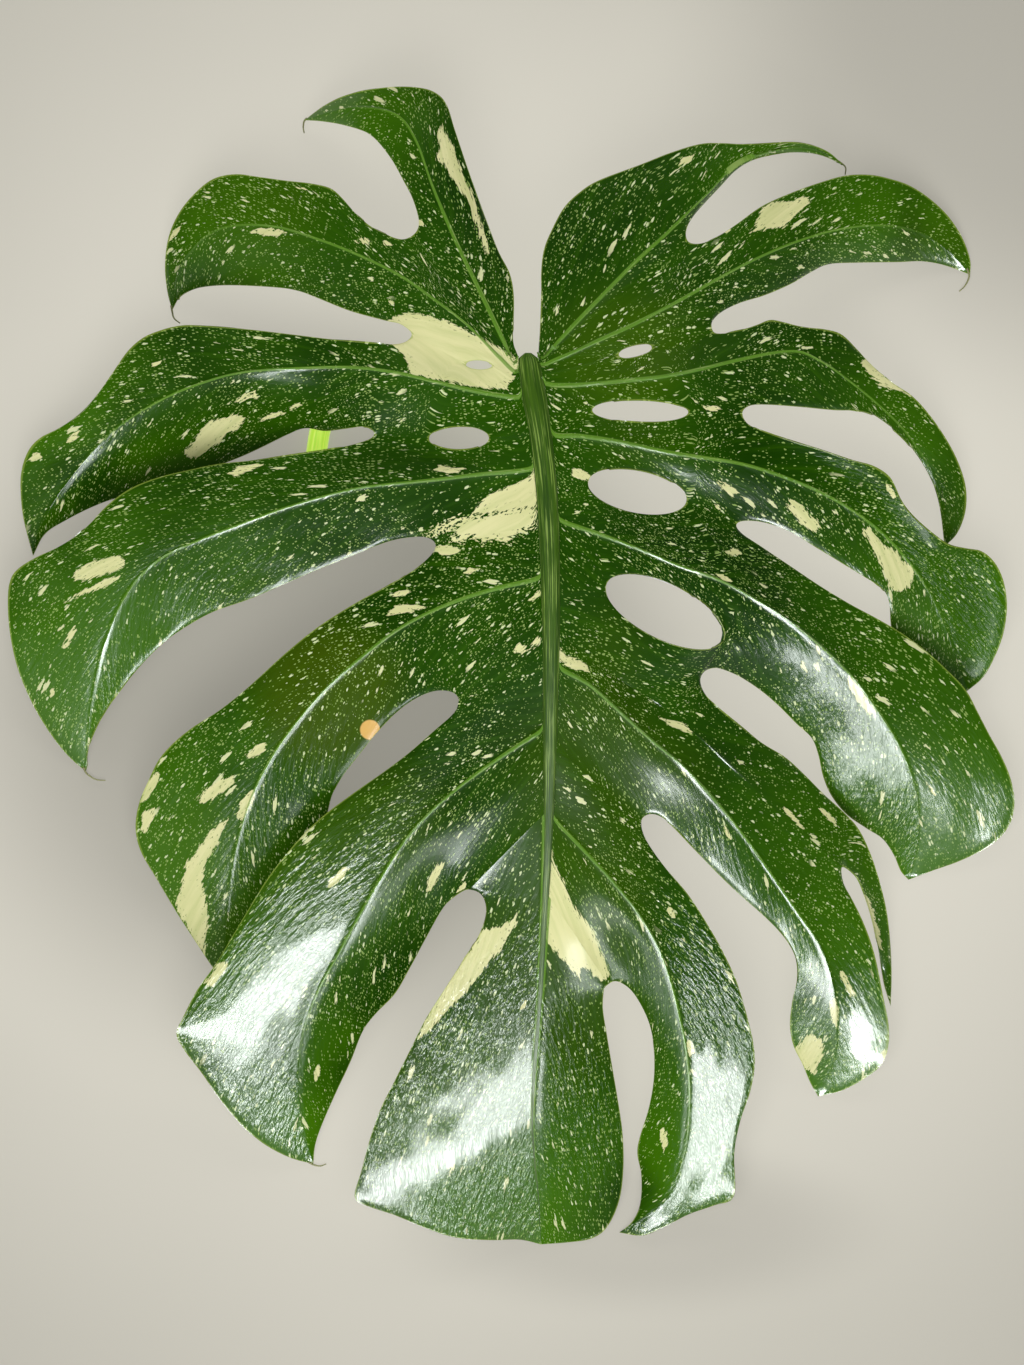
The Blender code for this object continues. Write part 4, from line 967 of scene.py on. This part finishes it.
def make_threads():
    """The dry threads that the lobes' tips end in."""
    threads = []
    angle = np.linspace(0, 2 * np.pi, THREAD_SIDES + 1)
    up = np.array([(0, 0, 1)])
    for path in TIP_THREADS:
        route = smooth(path, THREAD_STEPS)
        centre = to_world(route[:, :2], route[:, 2])
        ahead = np.gradient(centre, axis=0)
        side = np.cross(ahead, (0, 0, 1))
        side /= np.linalg.norm(side, axis=1)[:, None]
        radius = (np.linspace(*THREAD_RADII, len(centre)) * MM)[:, None, None]
        threads.append(rod("thread", centre, rings_about(centre, radius, angle, side, up)))
    return join(threads, "tip_threads")


def colour(name):
    """One of the colours, which are given as they look on a screen, as Blender's linear one."""
    share = np.array(COLOURS[name]) / 255
    linear = np.where(share <= 0.04045, share / 12.92, ((share + 0.055) / 1.055) ** 2.4)
    return (*(float(c) for c in linear), 1.0)


class Wire:
    """A node's output that takes part in sums. A number beside it is worked out by a Math node."""

    def __init__(self, finish, socket):
        self.finish = finish
        self.socket = socket

    def sum(self, operation, first, second=0.0):
        return self.finish.node("Math", dict(operation=operation), {0: first, 1: second})

    def __add__(self, other):
        return self.sum("ADD", self, other)

    def __sub__(self, other):
        return self.sum("SUBTRACT", self, other)

    def __rsub__(self, other):
        return self.sum("SUBTRACT", other, self)

    def __mul__(self, other):
        return self.sum("MULTIPLY", self, other)

    __radd__ = __add__
    __rmul__ = __mul__

    def most(self, other):
        return self.sum("MAXIMUM", self, other)

    def step(self, low, high):
        """Nought at low, one at high and smooth between; high may be the lower number."""
        ends = {0: self, 1: min(low, high), 2: max(low, high)}
        ends.update({3: 0.0, 4: 1.0} if low < high else {3: 1.0, 4: 0.0})
        return self.finish.node("MapRange", dict(interpolation_type="SMOOTHSTEP"), ends)


class Finish:
    """One material and its nodes."""

    def __init__(self, name):
        self.material = bpy.data.materials.new(name)
        self.material.use_nodes = True
        self.tree = self.material.node_tree
        self.shader = self.tree.nodes["Principled BSDF"]

    def put(self, socket, value):
        if isinstance(value, Wire):
            self.tree.links.new(value.socket, socket)
        else:
            socket.default_value = value

    def node(self, kind, settings=None, sockets=None, out=0):
        made = self.tree.nodes.new("ShaderNode" + kind)
        for setting, value in (settings or {}).items():
            setattr(made, setting, value)
        for socket, value in (sockets or {}).items():
            self.put(made.inputs[socket], value)
        return Wire(self, made.outputs[out])

    def outputs(self, wire, name):
        return Wire(self, wire.socket.node.outputs[name])

    def field(self, name):
        return self.node("Attribute", dict(attribute_name=name), out="Fac")

    def stretch(self, place, scale, offset=(0, 0, 0)):
        scaled = self.node("VectorMath", dict(operation="MULTIPLY"), {0: place, 1: scale})
        return self.node("VectorMath", dict(operation="ADD"), {0: scaled, 1: offset})

    def noise(self, place, detail=2.0, roughness=0.5):
        settings = dict(noise_dimensions="3D")
        return self.node("TexNoise", settings,
                         {"Vector": place, "Scale": 1.0, "Detail": detail, "Roughness": roughness})

    def mix(self, share, first, second):
        return self.node("Mix", dict(data_type="RGBA"), {0: share, 6: first, 7: second}, out=2)

    def near(self, body, spot, reach, core=0.4):
        """One at a spot of the plan, up to a core share of reach, and fading to nought at reach from it."""
        plan = self.node("VectorMath", dict(operation="MULTIPLY"), {0: body, 1: (1, 1, 0)})
        apart = self.node("VectorMath", dict(operation="DISTANCE"), {0: plan, 1: (*spot, 0)}, out="Value")
        return apart.step(reach, reach * core)

    def shine(self, **settings):
        for socket, value in settings.items():
            self.put(self.shader.inputs[socket.replace("_", " ")], value)

    def matte_where(self, share, skin):
        """Blends in the same skin with no shine, by a share of up to one."""
        matte = self.tree.nodes.new("ShaderNodeBsdfPrincipled")
        self.put(matte.inputs["Base Color"], skin)
        matte.inputs["Roughness"].default_value = 0.8
        matte.inputs["Specular IOR Level"].default_value = 0.0
        blend = self.tree.nodes.new("ShaderNodeMixShader")
        self.put(blend.inputs[0], share)
        self.tree.links.new(self.shader.outputs[0], blend.inputs[1])
        self.tree.links.new(matte.outputs[0], blend.inputs[2])
        self.tree.links.new(blend.outputs[0], self.tree.nodes["Material Output"].inputs["Surface"])

    def bump(self, height, distance, strength):
        made = self.node("Bump", {}, {"Height": height, "Distance": distance, "Strength": strength})
        self.put(self.shader.inputs["Normal"], made)


def specks(f, flow, cell, chance, size, ragged, lane):
    """Flecks along the veins, one in a share of a pattern's cells, which are so many millimetres each way.

    size is the smallest and the added part of their radii, as shares of a cell, and lane shifts the pattern.
    """
    length, width = cell
    place = f.stretch(flow, (10 / length, 10 / width, 1), (lane, 1.7 * lane, 0))
    fuzz = f.noise(f.stretch(flow, (24 / length, 34 / width, 1)), 2.0)
    fuzz = f.node("VectorMath", dict(operation="SUBTRACT"), {0: f.outputs(fuzz, "Color"), 1: (0.5, 0.5, 0.5)})
    fuzz = f.node("VectorMath", dict(operation="SCALE"), {0: fuzz, "Scale": ragged})
    place = f.node("VectorMath", dict(operation="ADD"), {0: place, 1: fuzz})
    cells = f.node("TexVoronoi", dict(voronoi_dimensions="2D"), {"Vector": place, "Scale": 1.0})
    parts = f.node("SeparateColor", {}, {0: f.outputs(cells, "Color")})
    there = (chance - parts).step(0, 0.01)
    luck = f.outputs(parts, "Green")
    radius = luck * luck * size[1] + size[0]
    return (radius - cells).step(-0.03, 0.05) * there


def leaf_skin():
    """The blade's waxy skin: deep green, cream flecks and patches drawn out along the veins, pale ribs."""
    f = Finish("waxy speckled leaf skin")
    along_vein = f.node("UVMap", dict(uv_map="flow"))
    flow = f.node("Mapping", {}, {"Vector": along_vein, "Rotation": (0, 0, FLECK_SLANT)})
    body = f.node("TexCoord", out="Object")
    off_vein, along, rim, slack = f.field("off_vein"), f.field("along"), f.field("rim"), f.field("slack")
    patch, mottle, dull = f.field("patch"), f.field("mottle"), f.field("dull")

    broad = f.noise(f.stretch(body, (13, 13, 13)), 2.0)
    olive = f.noise(f.stretch(body, (9, 9, 9), (3, 1, 0)), 1.0)
    streak = f.noise(f.stretch(flow, (0.25, 3.2, 1)), 3.0)
    green = f.mix(broad.step(0.3, 0.7), colour("deep green"), colour("fresh green"))
    green = f.mix(olive.step(0.5, 0.7) * 0.6, green, colour("olive"))
    green = f.mix(along.step(0.45, 1.0) * broad.step(0.25, 0.6) * 0.8, green, colour("lobe green"))
    green = f.mix(streak.step(0.45, 0.75) * 0.3, green, colour("streak"))
    green = f.mix(f.near(body, *BROWNED_SPOT) * 0.65, green, colour("browned green"))
    green = f.mix(f.near(body, *PALE_SPOT) * 0.4, green, colour("pale olive"))

    crowd = f.noise(f.stretch(body, (22, 22, 22), (5, 0, 0)), 2.0).step(0.3, 0.7)
    dust = specks(f, flow, cell=(1.7, 0.9), chance=0.22 + crowd * 0.45, size=(0.12, 0.3), ragged=0.5, lane=1)
    fine = specks(f, flow, cell=(3.4, 1.3), chance=0.05 + crowd * 0.16, size=(0.1, 0.32), ragged=0.6, lane=4)
    flecks = specks(f, flow, cell=(9, 2.7), chance=0.02 + crowd * 0.07, size=(0.1, 0.36), ragged=0.8, lane=9)
    skin = f.mix(dust * 0.7, green, colour("speck dust"))
    skin = f.mix(fine * 0.95, skin, colour("fine speck"))
    skin = f.mix(flecks * 0.95, skin, colour("fleck"))

    jagged = f.noise(f.stretch(flow, (1.8, 7.0, 1)), 4.0, 0.65)
    holes = f.noise(f.stretch(flow, (4.5, 11.0, 1), (3, 3, 0)), 3.0)
    cream = (patch + (jagged - 0.5) * 6.5).step(-0.1, 0.3)
    cream = cream * (1 - (holes.step(0.62, 0.66) * patch.step(4.5, 0.0)))
    cream = cream.most((mottle + (jagged - 0.5) * 9.0 + (holes - 0.5) * 14.0).step(0.4, 1.0))
    tone = f.mix(streak.step(0.3, 0.8), colour("cream"), colour("cream streak"))
    skin = f.mix(cream, skin, tone)
    skin = f.mix(f.near(body, *TAN_SPOT), skin, colour("tan spot"))

    rib_width = 1.1 - along * 0.8
    rib = (rib_width - off_vein).step(-0.25, 0.2) * along.step(0.92, 0.7)
    pale = f.noise(f.stretch(along_vein, (0.35, 22.0, 1), (8, 0, 0)), 2.0)
    rib_tone = f.mix(pale.step(0.55, 0.7) * 0.5, colour("vein"), colour("pale vein"))
    skin = f.mix(rib * 0.85, skin, rib_tone)
    skin = f.mix(rim.step(0.55, 0.15) * 0.5, skin, colour("leaf edge"))

    veinlets = f.noise(f.stretch(flow, (0.5, 5.5, 1), (0, 3, 0)), 2.0)
    crinkle = f.noise(f.stretch(flow, (2.2, 6.0, 1), (2, 7, 0)), 3.0)
    wrinkle = f.noise(f.stretch(flow, (1.1, 3.4, 1), (1, 2, 0)), 3.0, 0.6)
    height = veinlets * 0.1 + crinkle * (0.05 + slack * 0.5) + wrinkle * (0.1 + slack * 1.7)
    f.bump(height, MM, 1.0)
    f.shine(Base_Color=skin, Roughness=0.18 + crinkle * 0.1, IOR=1.45)
    f.shine(Coat_Weight=0.4, Coat_Roughness=0.12, Coat_IOR=1.5)
    f.matte_where(dull * 0.92, skin)
    return f.material


def rib_skin(name, part, glow=0.0):
    """A part's smooth fibrous skin, with fine pale strands along it, and, where glow is given, a painted glow
    in its own tone.
    """
    f = Finish(name)
    flow = f.node("UVMap", dict(uv_map="flow"))
    strands = f.noise(f.stretch(flow, (0.2, 9.0, 1)), 3.0)
    pale = f.noise(f.stretch(flow, (0.3, 15.0, 1), (4, 0, 0)), 2.0)
    mottle = f.noise(f.stretch(flow, (0.7, 2.4, 1), (0, 5, 0)), 3.0)
    tone = f.mix(strands.step(0.35, 0.65), colour(part + " furrow"), colour(part))
    tone = f.mix((pale * 0.7 + mottle * 0.3).step(0.52, 0.62) * 0.7, tone, colour(part + " strand"))
    f.bump(strands * 0.5 + mottle * 0.2, 0.5 * MM, 0.8)
    f.shine(Base_Color=tone, Roughness=0.34 + mottle * 0.15, Coat_Weight=0.2, Coat_Roughness=0.25)
    # Painted light: an emission in the skin's own tone, which the stalk gets so that it looks lit.
    f.shine(Emission_Color=tone, Emission_Strength=glow)
    return f.material


def make_floor():
    """The pale surface, with its own soft glow, on which a pool of light, its falloff, shadows and shade are
    painted.
    """
    bpy.ops.object.select_all(action="DESELECT")
    bpy.ops.mesh.primitive_plane_add(size=FLOOR_SIZE, location=(0, 0, -0.4 * MM))
    floor = bpy.context.object
    floor.name = "floor"
    f = Finish("pale matte surface")
    place = f.node("TexCoord", out="Object")
    cloud = f.noise(f.stretch(place, (2.3, 2.3, 1)), 2.0)
    off_centre = f.outputs(f.node("VectorMath", dict(operation="LENGTH"), {0: place}), "Value")
    # Painted light: lit floor near the middle, fading outwards to the dimmer far floor.
    painted_falloff = (off_centre + (cloud - 0.5) * 0.12).step(0.15, 0.48)
    tone = f.mix(painted_falloff, colour("lit floor"), colour("far floor"))
    # Painted shadow beside the leaf's left side.
    tone = f.mix(f.near(place, *SHADED_SPOT) * 0.8, tone, colour("shaded floor"))
    # Painted shade in the far top right corner.
    tone = f.mix(f.near(place, *DIM_CORNER) * 0.6, tone, colour("dim corner"))
    # Painted shadow below the leaf's tip.
    low = f.stretch(place, (0.35, 1, 1))
    tone = f.mix(f.near(low, *LOW_SHADE) * 0.35, tone, colour("low shade"))
    f.shine(Base_Color=colour("floor"), Roughness=0.8, Emission_Color=tone)
    f.shine(Emission_Strength=FLOOR_GLOW, Specular_IOR_Level=0.0)
    floor.data.materials.append(f.material)


def add_light(name, direction, size, power, tint, hidden_from):
    """A rectangular light that faces the leaf and is left out of one kind of reflection."""
    data = bpy.data.lights.new(name, "AREA")
    data.shape = "RECTANGLE"
    data.size, data.size_y = size
    data.energy = power
    data.color = tint
    light = bpy.data.objects.new(name, data)
    bpy.context.scene.collection.objects.link(light)
    place = LIT_POINT + LIGHT_DISTANCE * np.array(direction)
    light.location = place
    light.rotation_euler = (Vector(LIT_POINT) - Vector(place)).to_track_quat("-Z", "Y").to_euler()
    light.visible_camera = False
    setattr(light, "visible_" + hidden_from, False)


def make_lights():
    """One wide window beyond the leaf's tip for its shine, and a soft wall and sky."""
    add_light("window", (0.02, -0.74, 0.67), (1.5, 0.44), 86, (0.96, 0.99, 1.0), "diffuse")
    add_light("wall", (0.1, 0.8, 0.6), (2.4, 0.8), 22, (1.0, 0.99, 0.95), "glossy")
    add_light("sky", (-0.1, -0.35, 0.93), (2.2, 2.2), 64, (1.0, 1.0, 0.97), "glossy")


def make_room():
    """A room that is dim beyond the leaf's tip and dark elsewhere."""
    world = bpy.data.worlds.new("studio")
    world.use_nodes = True
    tree = world.node_tree
    glow = tree.nodes.new("ShaderNodeMapRange")
    parts = tree.nodes.new("ShaderNodeSeparateXYZ")
    place = tree.nodes.new("ShaderNodeTexCoord")
    back = tree.nodes["Background"]
    tree.links.new(place.outputs["Generated"], parts.inputs[0])
    tree.links.new(parts.outputs["Y"], glow.inputs["Value"])
    glow.interpolation_type = "SMOOTHSTEP"
    for socket, value in ROOM_GLOW.items():
        glow.inputs[socket].default_value = value
    tree.links.new(glow.outputs[0], back.inputs["Strength"])
    back.inputs["Color"].default_value = colour("room")
    bpy.context.scene.world = world
    bpy.context.scene.view_settings.view_transform = "Standard"


def make_camera():
    """Straight above and far off, so that the leaf's high middle looks no larger than its low lobes."""
    camera = bpy.data.objects.new("camera", bpy.data.cameras.new("camera"))
    bpy.context.scene.collection.objects.link(camera)
    across, down = (np.array(PICTURE_CENTRE) - SHEET_CENTRE) * SHEET_UNIT
    camera.location = (across, -down, CAMERA_HEIGHT)
    camera.data.sensor_width = SENSOR_WIDTH
    camera.data.lens = SENSOR_WIDTH * (CAMERA_HEIGHT - FOCUS_HEIGHT) / (PICTURE_HEIGHT * SHEET_UNIT)
    camera.data.clip_end = 60
    bpy.context.scene.camera = camera


def finish_piece(piece, material, smooth_angle, node):
    """Gives a piece its material and its smoothing, hangs it from the root and hides the solid that it stands
    for.
    """
    piece.data.materials.append(material)
    only(piece)
    bpy.ops.object.shade_smooth_by_angle(angle=np.radians(smooth_angle))
    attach(piece, "root")
    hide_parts(node)


def make_leaf():
    """All the leaf's pieces, which stand for its two solids."""
    skin = leaf_skin()
    halves = (("blade_left", LEFT_LOBES, LEFT_TIP, -1), ("blade_right", RIGHT_LOBES, RIGHT_TIP, 1))
    for name, lobes, tip, side in halves:
        blade = half_blade(lobes, tip, side, name)
        merge(blade)
        add_patches(blade.data)
        thicken(blade)
        finish_piece(blade, skin, 40, "leaf_blade")
    rib = rib_skin("fibrous midrib", "midrib")
    finish_piece(make_midrib(), rib, 40, "leaf_blade")
    thread = rib_skin("dry thread", "thread")
    finish_piece(make_threads(), thread, 50, "leaf_blade")
    stem = rib_skin("yellow green stalk", "stalk", STALK_PAINTED_GLOW)
    finish_piece(make_stalk(), stem, 50, "leaf_stalk")


make_camera()
make_leaf()
make_floor()
make_lights()
make_room()
